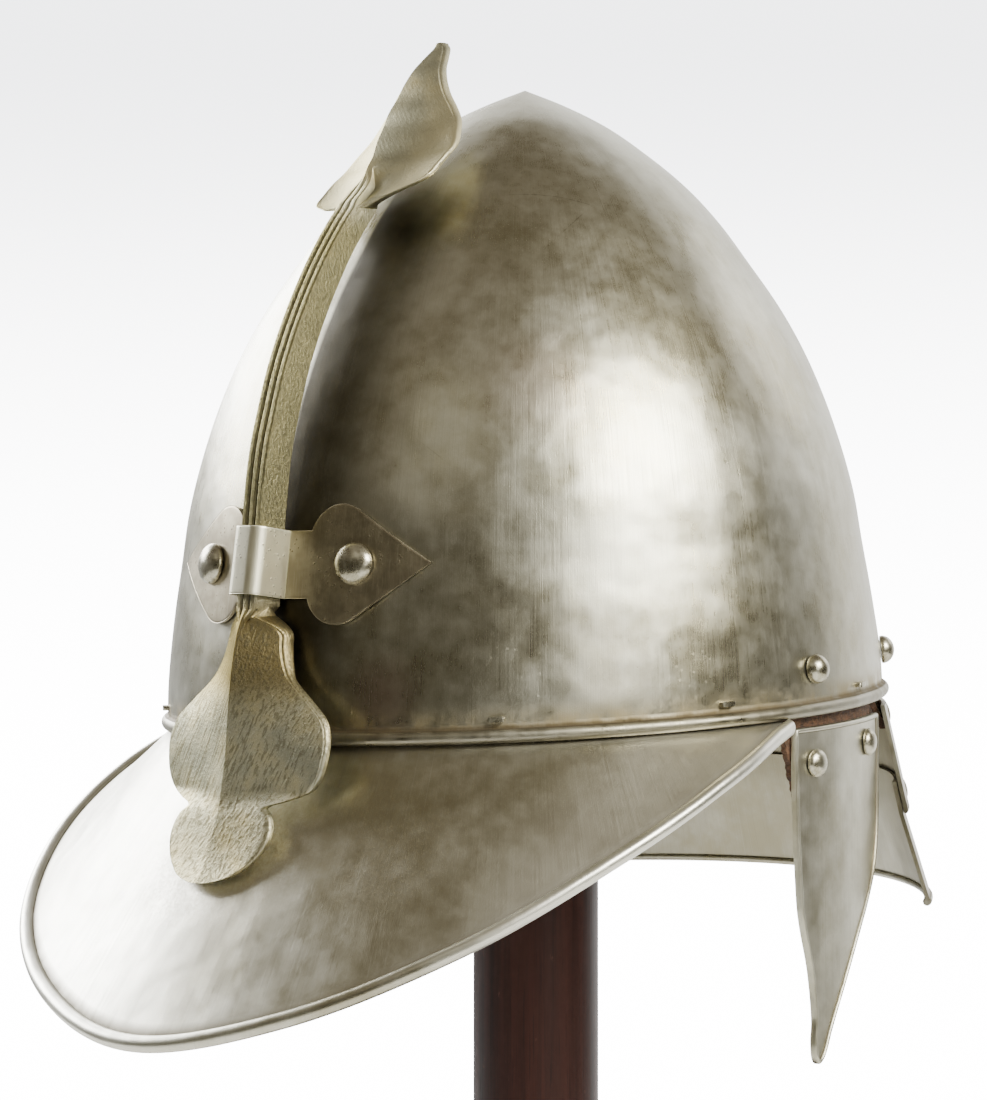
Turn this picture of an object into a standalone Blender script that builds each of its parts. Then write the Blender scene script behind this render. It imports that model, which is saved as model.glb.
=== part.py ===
# Ottoman helmet on a plain display stand, built as named metal, leather and wood pieces.
# Units are metres and +Z is up. The helmet faces -Y, so the wearer's left is +X.
# Most pieces are worked out in helmet coordinates: an angle round the skull (0 is the front,
# 90 the wearer's left), a radius from the skull's axis and a height above the rim bead.
# settle() then leans them as the rim leans, and the empty "helmet" lifts them onto the stand.

from bisect import bisect_right
from math import acos, asin, atan, atan2, cos, hypot, pi, radians, sin

import bmesh
import bpy
from mathutils import Matrix, Vector

# Air left between pieces that touch on the real helmet
GAP = 0.0003

# Place of the helmet on its stand
RIM_HEIGHT = 0.250
HELMET_FORWARD = 0.005
RIM_SLOPE = 0.070

# Skull
SKULL_RADIUS = 0.1108
DOME_HEIGHT = 0.1905
SKULL_WALL = 0.0015
SKULL_BOW = 0.0020
RIM_BEAD_RADIUS = 0.0020
SKULL_SIDES = 54

# Peak
PEAK_REACH = 0.0541
PEAK_DROP = 0.0832
PEAK_HALF_ANGLE = 85.5
PEAK_SHEET = 0.0015
PEAK_BEAD_RADIUS = 0.0025
PEAK_BEAD_RISE = 0.0009
PEAK_FLANGE_HEIGHT = 0.011
PEAK_STEPS = 36

# Nasal
BAR_FRONT_WIDTH = 0.0079
BAR_BACK_WIDTH = 0.0082
BAR_DEPTH = 0.0100
BAR_STANDOFF = 0.0017
GROOVE_DEPTH = 0.0006
BAR_FOOT_HEIGHT = 0.0365
BAR_TOP_HEIGHT = 0.1495
LEAF_RISE = 0.0519
LEAF_LEAN = 0.0400
LEAF_HALF_WIDTH = 0.0239
LEAF_SWEEP = 0.0125
LEAF_THICKNESS = 0.0030
LEAF_DISH = 0.0026
LEAF_SKEW = 0.120
FINIAL_DROP = 0.0750
FINIAL_HALF_WIDTH = 0.0337
FINIAL_SWEEP = 0.0095
FINIAL_THICKNESS = 0.0026
FINIAL_CLEARANCE = 0.0012

# Bracket that holds the nasal
BRACKET_HEIGHT = 0.0480
STRAP_HEIGHT = 0.0190
STRAP_THICKNESS = 0.0011
LOOP_SIDE_PLAY = 0.0006
LOOP_FRONT_PLAY = 0.0017
HEART_TIP = 0.0527
HEART_LOBE_PLACE = 0.0240
HEART_LOBE_OFFSET = 0.0063
HEART_LOBE_RADIUS = 0.0105
BRACKET_RIVET_PLACE = 0.0295
BRACKET_RIVET_RADIUS = 0.0062
BRACKET_RIVET_HEIGHT = 0.0040

# Cheek pieces
CHEEK_CENTRE_ANGLE = 103.4
CHEEK_WIDTH = 0.0600
CHEEK_DROP = 0.0995
CHEEK_TOP_GAP = 0.0030
CHEEK_PLATE = 0.0014
CHEEK_EDGE_WIDTH = 0.0018
CHEEK_EDGE_RISE = 0.0007
CHEEK_RIVET_RADIUS = 0.0042
CHEEK_RIVET_HEIGHT = 0.0028

# Leather
LEATHER_THICKNESS = 0.0020
LEATHER_RISE = 0.0180
CHEEK_LEATHER_DROP = 0.0270
CHEEK_LEATHER_MARGIN = 0.0030
NECK_LEATHER_WIDTH = 0.0260
NECK_LEATHER_DROP = 0.0130
NECK_LEATHER_ANGLE = 136.0

# Neck guard
NECK_START_ANGLE = 122.0
NECK_UPPER_DROP = 0.0380
NECK_LOWER_DROP = 0.0660
NECK_OVERLAP = 0.0100
NECK_UPPER_FLARE = 0.0075
NECK_LOWER_FLARE = 0.0085
NECK_PLATE = 0.0013
NECK_BEAD_RADIUS = 0.0014
NECK_TOP_GAP = 0.0025
NECK_RIVET_RADIUS = 0.0035
NECK_RIVET_HEIGHT = 0.0012
NECK_STEPS = 18

# Skull rivets and the small pins above the rim bead
SKULL_RIVET_RADIUS = 0.0044
SKULL_RIVET_PROUD = 0.0042
SKULL_RIVET_RISE = 0.0116
CHEEK_SKULL_RIVET_ANGLE = 92.8
NECK_SKULL_RIVET_ANGLE = 131.0
RIM_PIN_WIDTH = 0.0048
RIM_PIN_HEIGHT = 0.0015
RIM_PIN_PROUD = 0.0020
RIM_PIN_RISE = 0.0047
RIM_PIN_ANGLES = (38.4, 74.0, 106.7, 145.0)

# Stand
POST_RADIUS = 0.0195
BASE_RADIUS = 0.1000
BASE_THICKNESS = 0.0220
BASE_CHAMFER = 0.0030
HEAD_RADIUS = 0.0400
HEAD_DEPTH = 0.0200

# Skull outline: height as a share of DOME_HEIGHT, radius as a share of SKULL_RADIUS
SKULL_OUTLINE = (
    (0.000, 1.000), (0.050, 0.998), (0.110, 0.989), (0.180, 0.973), (0.250, 0.953),
    (0.325, 0.932), (0.400, 0.900), (0.485, 0.853), (0.560, 0.798), (0.640, 0.722),
    (0.710, 0.640), (0.780, 0.551), (0.840, 0.455), (0.890, 0.352), (0.940, 0.229),
    (0.975, 0.108), (1.000, 0.000),
)

# Peak edge: angle as a share of PEAK_HALF_ANGLE, then shares of PEAK_REACH and PEAK_DROP
PEAK_EDGE = (
    (-0.21, 0.912, 0.897), (0.00, 0.978, 1.000), (0.21, 0.912, 0.897), (0.42, 0.813, 0.679),
    (0.63, 0.619, 0.403), (0.84, 0.336, 0.165), (0.93, 0.160, 0.095), (1.00, 0.020, 0.068),
)

# Bar front: height as a share of DOME_HEIGHT, set-back as a share of SKULL_RADIUS
BAR_FRONT = (
    (0.160, -0.015), (0.200, -0.008), (0.252, 0.000), (0.300, 0.008), (0.341, 0.016),
    (0.390, 0.027), (0.436, 0.043), (0.483, 0.067), (0.532, 0.094), (0.581, 0.129),
    (0.630, 0.171), (0.673, 0.213), (0.717, 0.262), (0.785, 0.355), (0.832, 0.440),
)

# Leaf, upwards from the bar's top: shares of LEAF_RISE, LEAF_LEAN, LEAF_HALF_WIDTH and
# LEAF_SWEEP, then how much of the bar's front is left and the depth of its core
LEAF_ROWS = (
    (0.040, 0.035, 0.600, 0.30, 1.0, 1.00), (0.100, 0.120, 0.950, 0.41, 1.0, 0.90),
    (0.175, 0.200, 1.000, 0.52, 0.4, 0.60), (0.240, 0.245, 1.000, 0.68, 0.0, 0.36),
    (0.300, 0.300, 0.975, 0.82, 0.0, 0.24), (0.390, 0.350, 0.883, 0.96, 0.0, 0.22),
    (0.480, 0.420, 0.757, 1.00, 0.0, 0.22), (0.560, 0.475, 0.630, 0.93, 0.0, 0.22),
    (0.640, 0.560, 0.500, 0.72, 0.0, 0.22), (0.730, 0.640, 0.385, 0.56, 0.0, 0.22),
    (0.820, 0.740, 0.280, 0.42, 0.0, 0.22), (0.900, 0.860, 0.190, 0.30, 0.0, 0.21),
    (0.970, 0.970, 0.110, 0.14, 0.0, 0.19), (1.000, 1.000, 0.050, 0.04, 0.0, 0.17),
)

# Finial, downwards from the bar's foot: shares of FINIAL_DROP, of the reach from the foot to
# the tip, of FINIAL_HALF_WIDTH and FINIAL_SWEEP, then what is left of the bar and its core
FINIAL_ROWS = (
    (0.030, 0.070, 0.126, 0.15, 0.3, 0.90), (0.065, 0.130, 0.270, 0.58, 0.0, 1.00),
    (0.095, 0.175, 0.335, 0.83, 0.0, 1.10), (0.140, 0.215, 0.355, 0.86, 0.0, 1.12),
    (0.200, 0.262, 0.400, 0.88, 0.0, 1.08), (0.260, 0.300, 0.490, 0.88, 0.0, 0.95),
    (0.340, 0.338, 0.720, 0.90, 0.0, 0.40), (0.410, 0.363, 0.910, 0.90, 0.0, 0.34),
    (0.480, 0.385, 0.975, 0.84, 0.0, 0.32), (0.560, 0.420, 0.965, 0.80, 0.0, 0.31),
    (0.635, 0.470, 0.905, 0.80, 0.0, 0.30), (0.675, 0.495, 0.815, 0.74, 0.0, 0.30),
    (0.706, 0.515, 0.620, 0.46, 0.0, 0.30), (0.722, 0.530, 0.480, 0.28, 0.0, 0.30),
    (0.755, 0.572, 0.550, 0.26, 0.0, 0.30), (0.815, 0.645, 0.605, 0.24, 0.0, 0.30),
    (0.885, 0.740, 0.565, 0.19, 0.0, 0.30), (0.950, 0.860, 0.430, 0.13, 0.0, 0.29),
    (0.985, 0.955, 0.275, 0.07, 0.0, 0.28), (1.000, 1.000, 0.120, 0.03, 0.0, 0.27),
)

# Cheek piece outline: shares of CHEEK_WIDTH from its front edge and of CHEEK_DROP, down
CHEEK_OUTLINE = (
    (0.000, 0.000), (0.980, 0.010), (1.000, 0.180), (0.985, 0.350), (0.905, 0.470),
    (0.780, 0.555), (0.650, 0.635), (0.535, 0.717), (0.394, 0.832), (0.310, 0.910),
    (0.268, 0.960), (0.232, 0.990), (0.195, 1.000), (0.163, 0.980), (0.153, 0.930),
    (0.160, 0.860), (0.125, 0.720), (0.061, 0.583), (0.034, 0.480), (0.007, 0.221),
)
CHEEK_RIVETS = ((0.165, 0.110), (0.750, 0.085))

# Colour, metallic and roughness of each finish
STEEL = ((0.33, 0.32, 0.29, 1.0), 1.0, 0.34)
CAST_METAL = ((0.50, 0.48, 0.38, 1.0), 1.0, 0.42)
DARK_STEEL = ((0.20, 0.18, 0.15, 1.0), 1.0, 0.38)
POLISHED_STEEL = ((0.55, 0.53, 0.47, 1.0), 1.0, 0.24)
BROWN_LEATHER = ((0.07, 0.04, 0.025, 1.0), 0.0, 0.70)
MAHOGANY = ((0.16, 0.055, 0.03, 1.0), 0.0, 0.40)


def table_row(table, share):
    """Row of a table at a share of its first column, along a smooth curve."""
    keys = [row[0] for row in table]
    share = min(max(share, keys[0]), keys[-1])
    low = min(bisect_right(keys, share) - 1, len(table) - 2)
    span = keys[low + 1] - keys[low]
    part = (share - keys[low]) / span
    values = []
    for column in range(1, len(table[0])):
        start = table[low][column]
        end = table[low + 1][column]
        slope = (end - start) / span
        before = slope
        after = slope
        if low > 0:
            previous = table[low - 1]
            before = (slope + (start - previous[column]) / (keys[low] - previous[0])) / 2
        if low + 2 < len(table):
            following = table[low + 2]
            after = (slope + (following[column] - end) / (following[0] - keys[low + 1])) / 2
        first = start * (1 + 2 * part) * (1 - part) ** 2 + end * part ** 2 * (3 - 2 * part)
        second = before * span * part * (1 - part) ** 2 - after * span * part ** 2 * (1 - part)
        values.append(first + second)
    return values


def skull_radius(height):
    """Outer radius of the skull at a height above the rim bead."""
    return SKULL_RADIUS * table_row(SKULL_OUTLINE, height / DOME_HEIGHT)[0]


def skull_bow(height):
    """How far the skull leans forward at a height."""
    share = min(max(height / DOME_HEIGHT, 0.0), 1.0)
    return SKULL_BOW * 4 * share * (1 - share)


def skull_slope(height):
    """Angle by which the skull's face looks upwards at a height."""
    step = DOME_HEIGHT / 400
    return atan((skull_radius(height - step) - skull_radius(height + step)) / (2 * step))


def skull_front(height):
    """Distance from the axis to the skull's front at a height."""
    return skull_radius(height) + skull_bow(height)


def settle(point):
    """Lean a point in helmet coordinates as the rim leans, less and less towards the top."""
    share = min(max(point[2] / DOME_HEIGHT, 0.0), 1.0)
    return Vector((point[0], point[1], point[2] + RIM_SLOPE * point[1] * (1 - share)))


def round_axis(angle, radius, height):
    """Point at an angle, a radius and a height."""
    turn = radians(angle)
    return Vector((radius * sin(turn), -radius * cos(turn), height))


def on_skull(angle, height, out):
    """Point at a distance out from the skull's outer face."""
    slope = skull_slope(height)
    point = round_axis(angle, skull_radius(height) + out * cos(slope), height + out * sin(slope))
    point.y -= skull_bow(height)
    return point


def skull_frame(angle, height, out):
    """Place on the skull whose Z axis looks out of the face and whose Y axis looks up it."""
    place = settle(on_skull(angle, height, out))
    outward = (settle(on_skull(angle, height, out + 0.001)) - place).normalized()
    across = (settle(on_skull(angle + 0.5, height, out)) - place).normalized()
    return placed(place, outward, across)


def plate_frame(face, angle, height):
    """Place on a face(angle, height, out), looking out of it."""
    place = settle(face(angle, height, 0.0))
    outward = (settle(face(angle, height, 0.001)) - place).normalized()
    across = (settle(face(angle + 0.5, height, 0.0)) - place).normalized()
    return placed(place, outward, across)


def placed(place, outward, across):
    """Matrix with its Z axis outward and its X axis across."""
    upward = outward.cross(across).normalized()
    across = upward.cross(outward)
    turn = Matrix((across, upward, outward)).transposed().to_4x4()
    return Matrix.Translation(place) @ turn


def make_material(name, finish):
    """One Principled material for one object."""
    colour, metallic, roughness = finish
    material = bpy.data.materials.new(name + "_finish")
    material.use_nodes = True
    material.diffuse_color = colour
    shader = material.node_tree.nodes["Principled BSDF"]
    shader.inputs["Base Color"].default_value = colour
    shader.inputs["Metallic"].default_value = metallic
    shader.inputs["Roughness"].default_value = roughness
    return material


def add_object(name, bm, finish, parent, place=None, sharp=35):
    """Turn a finished bmesh into a named object with its own material."""
    bmesh.ops.recalc_face_normals(bm, faces=bm.faces)
    if bm.calc_volume(signed=True) < 0:
        bmesh.ops.reverse_faces(bm, faces=bm.faces)
    mesh = bpy.data.meshes.new(name)
    bm.to_mesh(mesh)
    bm.free()
    mesh.materials.append(make_material(name, finish))
    mesh.shade_smooth()
    mesh.set_sharp_from_angle(angle=radians(sharp))
    result = bpy.data.objects.new(name, mesh)
    bpy.context.scene.collection.objects.link(result)
    result.parent = parent
    if place is not None:
        result.matrix_local = place
    return result


def lofted(sections):
    """Closed body through equal closed sections: a grid rolled up and capped."""
    around = len(sections[0])
    bm = bmesh.new()
    grid = bmesh.ops.create_grid(bm, x_segments=around, y_segments=len(sections) - 1, size=1)
    for index, vertex in enumerate(grid["verts"]):
        row, column = divmod(index, around + 1)
        vertex.co = sections[row][column % around]
    bmesh.ops.remove_doubles(bm, verts=bm.verts, dist=1e-7)
    open_edges = [edge for edge in bm.edges if edge.is_boundary]
    bmesh.ops.holes_fill(bm, edges=open_edges, sides=0)
    return bm


def turned(outline, sides):
    """Body of revolution about Z from (radius, height) points whose ends lie on the axis."""
    bm = bmesh.new()
    chain = [bm.verts.new((radius, 0, height)) for radius, height in outline]
    edges = [bm.edges.new(pair) for pair in zip(chain, chain[1:])]
    bmesh.ops.spin(bm, geom=chain + edges, cent=(0, 0, 0), axis=(0, 0, 1), angle=2 * pi,
                   steps=sides, use_merge=True)
    bmesh.ops.remove_doubles(bm, verts=bm.verts, dist=1e-7)
    return bm


def dome(radius, height, sides=10):
    """Domed rivet head with a flat back at Z = 0."""
    outline = [(0, 0), (radius * 0.94, 0)]
    outline += [(radius * cos(radians(angle)), height * sin(radians(angle))) for angle in (14, 48)]
    return turned(outline + [(0, height)], sides)


def add_rivet(name, radius, height, finish, parent, place):
    """Rivet head on a placed face, a gap in front of it."""
    return add_object(name, dome(radius, height), finish, parent,
                      place @ Matrix.Translation((0, 0, GAP)))


def plate_from_outline(outline, cell, thickness, edge_width=0.0, edge_rise=0.0):
    """Flat plate, cut into cells so that it can be bent, with an optional raised edge."""
    bm = bmesh.new()
    face = bm.faces.new([bm.verts.new((x, y, thickness)) for x, y in outline])
    face.normal_update()
    if edge_width:
        bmesh.ops.inset_individual(bm, faces=[face], thickness=edge_width, depth=0,
                                   use_even_offset=True)
        for vertex in bm.verts:
            if vertex not in face.verts:
                vertex.co.z += edge_rise
    for axis in (0, 1):
        low = min(point[axis] for point in outline)
        high = max(point[axis] for point in outline)
        count = int((high - low) / cell)
        for number in range(1, count + 1):
            cut = [0, 0, 0]
            cut[axis] = low + (high - low) * number / (count + 1)
            normal = [0, 0, 0]
            normal[axis] = 1
            geom = bm.verts[:] + bm.edges[:] + bm.faces[:]
            bmesh.ops.bisect_plane(bm, geom=geom, dist=1e-6, plane_co=cut, plane_no=normal)
    body = bmesh.ops.extrude_face_region(bm, geom=bm.faces[:])
    for item in body["geom"]:
        if isinstance(item, bmesh.types.BMVert):
            item.co.z = 0
    bmesh.ops.triangulate(bm, faces=[face for face in bm.faces if len(face.verts) > 4])
    return bm


def bend(bm, mapping):
    """Move every vertex by mapping(x, y, z)."""
    for vertex in bm.verts:
        vertex.co = mapping(*vertex.co)


# Skull
def rim_bead_inner():
    """Smallest radius of the rolled rim bead."""
    return SKULL_RADIUS - RIM_BEAD_RADIUS


def inside_radius(height):
    """Largest radius of a piece that lies inside the skull's flat facets at a height."""
    within = rim_bead_inner() - GAP
    if height > 0:
        wall = skull_radius(height) - SKULL_WALL - skull_bow(height) - GAP
        within = min(within, wall)
    return within - SKULL_RADIUS * (1 - cos(pi / SKULL_SIDES))


def skull_shares():
    """Shares of DOME_HEIGHT at which the skull's outer face has a ring, from the top."""
    return [row[0] for row in reversed(SKULL_OUTLINE) if row[0] > 0.03]


def skull_inner_line():
    """Inner face of the skull from its top down, as (radius, height)."""
    line = [(0.0, DOME_HEIGHT - SKULL_WALL / sin(skull_slope(DOME_HEIGHT * 0.99)))]
    for share in skull_shares()[2::2]:
        height = share * DOME_HEIGHT
        slope = skull_slope(height)
        line.append((skull_radius(height) - SKULL_WALL * cos(slope), height - SKULL_WALL * sin(slope)))
    return line


def skull_profile():
    """Closed wall of the skull: outer face down, round the bead, inner face up."""
    outer = [(skull_radius(share * DOME_HEIGHT), share * DOME_HEIGHT) for share in skull_shares()]
    inner = skull_inner_line()
    bead = []
    start = pi / 2
    end = acos(-min(SKULL_WALL / RIM_BEAD_RADIUS, 0.95)) - 2 * pi
    for number in range(10):
        turn = start + (end - start) * number / 9
        bead.append((SKULL_RADIUS + RIM_BEAD_RADIUS * cos(turn), RIM_BEAD_RADIUS * sin(turn)))
    return outer + bead + list(reversed(inner))


def build_skull(parent):
    bm = turned(skull_profile(), SKULL_SIDES)
    for vertex in bm.verts:
        vertex.co.y -= skull_bow(vertex.co.z)
        vertex.co = settle(vertex.co)
    return add_object("skull", bm, STEEL, parent)


# Peak
def peak_edge_centre(angle):
    """Centre of the peak's edge bead at an angle, as (radius, height)."""
    reach, drop = table_row(PEAK_EDGE, abs(angle) / PEAK_HALF_ANGLE)
    outside = PEAK_REACH * reach
    down = PEAK_DROP * drop
    length = hypot(outside, down)
    inset = PEAK_BEAD_RADIUS * min(1.0, length / (12 * PEAK_BEAD_RADIUS))
    return (SKULL_RADIUS + outside - inset * outside / length, -down + inset * down / length)


def peak_section(angle):
    """Closed section of the peak at an angle: flange, sheet and rolled edge."""
    edge_radius, edge_height = peak_edge_centre(angle)
    across = edge_radius - SKULL_RADIUS
    down = -edge_height
    clear = RIM_BEAD_RADIUS + GAP + 0.00005
    middle = clear + PEAK_SHEET / 2
    slant = atan2(down, across) - asin(middle / hypot(across, down))
    along = Vector((cos(slant), -sin(slant)))
    normal = Vector((sin(slant), cos(slant)))
    bead_centre = Vector((edge_radius, edge_height)) + normal * PEAK_BEAD_RISE
    axis = Vector((SKULL_RADIUS, 0))
    throat_top = axis - normal * clear
    throat_under = axis - normal * (clear + PEAK_SHEET)
    flange_outer = rim_bead_inner() - GAP - 0.00005
    run = (Vector((edge_radius, edge_height)) - axis + normal * middle).length
    top_join = asin((PEAK_SHEET / 2 - PEAK_BEAD_RISE) / PEAK_BEAD_RADIUS)
    under_join = asin((-PEAK_SHEET / 2 - PEAK_BEAD_RISE) / PEAK_BEAD_RADIUS)
    start = pi - top_join
    end = -pi - under_join
    points = [Vector((flange_outer, PEAK_FLANGE_HEIGHT)), Vector((flange_outer, -0.0004)), throat_top]
    sheet_run = run - PEAK_BEAD_RADIUS
    points += [throat_top + along * sheet_run * share for share in (0.33, 0.67)]
    for number in range(8):
        turn = start + (end - start) * number / 7
        points.append(bead_centre + (along * cos(turn) + normal * sin(turn)) * PEAK_BEAD_RADIUS)
    points += [throat_under + along * sheet_run * share for share in (0.67, 0.33, 0.0)]
    points.append(Vector((flange_outer - PEAK_SHEET, -0.0004)))
    points.append(Vector((flange_outer - PEAK_SHEET, PEAK_FLANGE_HEIGHT)))
    return [settle(round_axis(angle, point.x, point.y)) for point in points]


def build_peak(parent):
    angles = [PEAK_HALF_ANGLE * (2 * step / PEAK_STEPS - 1) for step in range(PEAK_STEPS + 1)]
    return add_object("peak", lofted([peak_section(angle) for angle in angles]), STEEL, parent)


def peak_face_radius(height):
    """Radius of the peak's upper face at the front, at a height below the rim."""
    edge_radius, edge_height = peak_edge_centre(0)
    share = height / edge_height
    return SKULL_RADIUS + (edge_radius - SKULL_RADIUS) * share


# Nasal
def bar_front(height):
    """Distance from the axis to the bar's front face."""
    base = skull_front(BRACKET_HEIGHT) + BAR_STANDOFF + BAR_DEPTH
    return base - SKULL_RADIUS * table_row(BAR_FRONT, height / DOME_HEIGHT)[0]


def finial_reach():
    """How far the finial's tip lies in front of the bar's foot."""
    tip_height = BAR_FOOT_HEIGHT - FINIAL_DROP
    tip = peak_face_radius(tip_height) + FINIAL_CLEARANCE + FINIAL_THICKNESS
    return tip - bar_front(BAR_FOOT_HEIGHT)


def bar_section(height):
    """Right half of the ribbed bar, from its front middle to its back middle, as (x, back)."""
    half = BAR_FRONT_WIDTH / 2
    back_half = BAR_BACK_WIDTH / 2
    points = [(0, 0), (half * 0.34, GROOVE_DEPTH), (half * 0.66, 0), (half, GROOVE_DEPTH / 3)]
    for share in (0.15, 0.3, 0.42, 0.54, 0.68, 0.84, 1.0):
        points.append((half + (back_half - half) * share, BAR_DEPTH * share))
    points.append((0, BAR_DEPTH))
    return [(x, back, height) for x, back in points]


def wing_section(height, half_width, sweep, dish, thickness, bar_left, core):
    """Right half of a winged section, from its front middle to its back middle."""
    bar_half = BAR_FRONT_WIDTH / 2

    def wing(x):
        share = x / half_width
        return sweep * share + dish * 4 * share * (1 - share)

    def blend(x, bar_value):
        return bar_left * bar_value + (1 - bar_left) * wing(x)

    inner = min(bar_half, half_width * 0.5)
    points = [(0, 0), (inner * 0.34, blend(inner * 0.34, GROOVE_DEPTH)),
              (inner * 0.66, blend(inner * 0.66, 0)), (inner, blend(inner, GROOVE_DEPTH / 3))]
    root = inner * 1.03
    middle = root + (half_width - root) * 0.55
    points += [(root, wing(root) + bar_left * thickness * 0.5), (middle, wing(middle)),
               (half_width, wing(half_width))]
    depth = max(core * BAR_DEPTH, wing(inner * 0.6) + thickness * 1.02)
    points += [(half_width, wing(half_width) + thickness), (middle, wing(middle) + thickness),
               (root, max(wing(root) + thickness, min(depth, wing(root) + thickness * 1.3))),
               (inner * 0.6, max(depth, wing(inner * 0.6) + thickness)), (0, depth)]
    return [(x, back, height) for x, back in points]


def finial_thickness(sweep, core):
    """Thickness of the finial's wings, which is more at the neck where the bar runs out."""
    return max(FINIAL_THICKNESS, core * BAR_DEPTH * 1.15 - sweep)


def nasal_section(front, half_section, skew=0.0):
    """Whole closed section from its right half, at a distance in front of the axis."""
    right = [(x, -(front - back), height + skew * x) for x, back, height in half_section]
    left = [(-x, y, height - 2 * skew * x) for x, y, height in reversed(right[1:-1])]
    return [settle(point) for point in right + left]


def nasal_sections():
    """Sections of the whole nasal, from the finial's tip up to the leaf's tip."""
    sections = []
    foot = bar_front(BAR_FOOT_HEIGHT)
    reach_total = finial_reach()
    for drop, reach, width, sweep, bar_left, core in reversed(FINIAL_ROWS):
        half = wing_section(BAR_FOOT_HEIGHT - FINIAL_DROP * drop, FINIAL_HALF_WIDTH * width,
                            FINIAL_SWEEP * sweep, 0.0,
                            finial_thickness(FINIAL_SWEEP * sweep, core), bar_left, core)
        sections.append(nasal_section(foot + reach_total * reach, half))
    steps = 10
    for step in range(steps + 1):
        height = BAR_FOOT_HEIGHT + (BAR_TOP_HEIGHT - BAR_FOOT_HEIGHT) * step / steps
        sections.append(nasal_section(bar_front(height), bar_section(height)))
    top = bar_front(BAR_TOP_HEIGHT)
    for rise, lean, width, sweep, bar_left, core in LEAF_ROWS:
        half = wing_section(BAR_TOP_HEIGHT + LEAF_RISE * rise, LEAF_HALF_WIDTH * width,
                            LEAF_SWEEP * sweep, LEAF_DISH * width, LEAF_THICKNESS, bar_left, core)
        sections.append(nasal_section(top - LEAF_LEAN * lean, half, LEAF_SKEW))
    return sections


def slide_place():
    """Middle of the bar inside the bracket's loop, on the slide's axis."""
    return settle((0, -(bar_front(BRACKET_HEIGHT) - BAR_DEPTH / 2), BRACKET_HEIGHT))


def build_nasal(parent):
    bm = lofted(nasal_sections())
    place = slide_place()
    bmesh.ops.translate(bm, verts=bm.verts, vec=-place)
    return add_object("nasal", bm, CAST_METAL, parent, Matrix.Translation(place), sharp=28)


# Bracket
def heart_outline():
    """Right half of the bracket's flat outline, upper side, as (along, up) from the strap."""
    lobe = Vector((HEART_LOBE_PLACE, HEART_LOBE_OFFSET))
    start = pi - asin((STRAP_HEIGHT / 2 - HEART_LOBE_OFFSET) / HEART_LOBE_RADIUS)
    tip = Vector((HEART_TIP, 0)) - lobe
    end = atan2(tip.y, tip.x) + pi / 2 - asin(HEART_LOBE_RADIUS / tip.length)
    points = []
    for number in range(9):
        turn = start + (end - start) * number / 8
        points.append(lobe + Vector((cos(turn), sin(turn))) * HEART_LOBE_RADIUS)
    return [(point.x, point.y) for point in points]


def loop_half_width():
    """Half of the loop's inner width."""
    return max(BAR_FRONT_WIDTH, BAR_BACK_WIDTH) / 2 + LOOP_SIDE_PLAY


def loop_depth():
    """Depth of the loop's hollow above the skull's face."""
    return BAR_STANDOFF + BAR_DEPTH + LOOP_FRONT_PLAY


def bracket_point(along, up, out):
    """Bend the flat bracket: its ends lie on the skull, its middle stands out as a loop."""
    inside = loop_half_width()
    rise = loop_depth() - GAP
    side = 1 if along >= 0 else -1
    distance = abs(along)
    edge = out / STRAP_THICKNESS
    corner = inside + rise
    slope = skull_slope(BRACKET_HEIGHT)
    height = BRACKET_HEIGHT + up * cos(slope)
    if distance >= corner - 1e-9:
        start = inside + STRAP_THICKNESS * edge * max(0.0, 1 - (distance - corner) / 0.002)
        turn = (start + distance - corner) / skull_radius(BRACKET_HEIGHT)
        return settle(on_skull(side * turn * 180 / pi, height, GAP + out))
    base = on_skull(0, BRACKET_HEIGHT, 0)
    outward = Vector((0, -cos(slope), sin(slope)))
    upward = Vector((0, sin(slope), cos(slope)))
    if distance >= inside - 1e-9:
        share = (distance - inside) / rise
        across = inside + STRAP_THICKNESS * edge
        far = GAP + rise + out
        depth = GAP + out + (far - GAP - out) * (1 - share)
    else:
        across = distance * (1 + STRAP_THICKNESS * edge / inside)
        depth = GAP + rise + out
    return settle(base + outward * depth + upward * up + Vector((side * across, 0, 0)))


def build_bracket(parent):
    inside = loop_half_width()
    corner = inside + loop_depth() - GAP
    shift = corner - inside
    upper = [(x + shift, y) for x, y in heart_outline()]
    tip = HEART_TIP + shift
    strap = STRAP_HEIGHT / 2
    right = [(x, -y) for x, y in upper] + [(tip, 0)] + [(x, y) for x, y in reversed(upper)]
    stations = [inside, corner, corner + 0.002]
    bottom = [(-x, -strap) for x in reversed(stations)] + [(x, -strap) for x in stations]
    outline = bottom + right + [(x, -y) for x, y in reversed(bottom)] + [(-x, -y) for x, y in right]
    bm = plate_from_outline(outline, 0.008, STRAP_THICKNESS)
    bend(bm, bracket_point)
    add_object("nasal_bracket", bm, DARK_STEEL, parent, sharp=30)
    turn = BRACKET_RIVET_PLACE / skull_radius(BRACKET_HEIGHT) * 180 / pi
    for side, name in ((1, "left"), (-1, "right")):
        place = skull_frame(side * turn, BRACKET_HEIGHT, GAP + STRAP_THICKNESS)
        add_rivet("bracket_rivet_" + name, BRACKET_RIVET_RADIUS, BRACKET_RIVET_HEIGHT,
                  POLISHED_STEEL, parent, place)


# Cheek pieces and their leather
def cheek_face_radius():
    """Outer radius of a cheek piece's plate."""
    return rim_bead_inner() - GAP + CHEEK_PLATE + GAP


def cheek_angle(share):
    """Angle round the helmet at a share of the cheek piece's width from its front edge."""
    return CHEEK_CENTRE_ANGLE + (share - 0.5) * CHEEK_WIDTH / SKULL_RADIUS * 180 / pi


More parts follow.
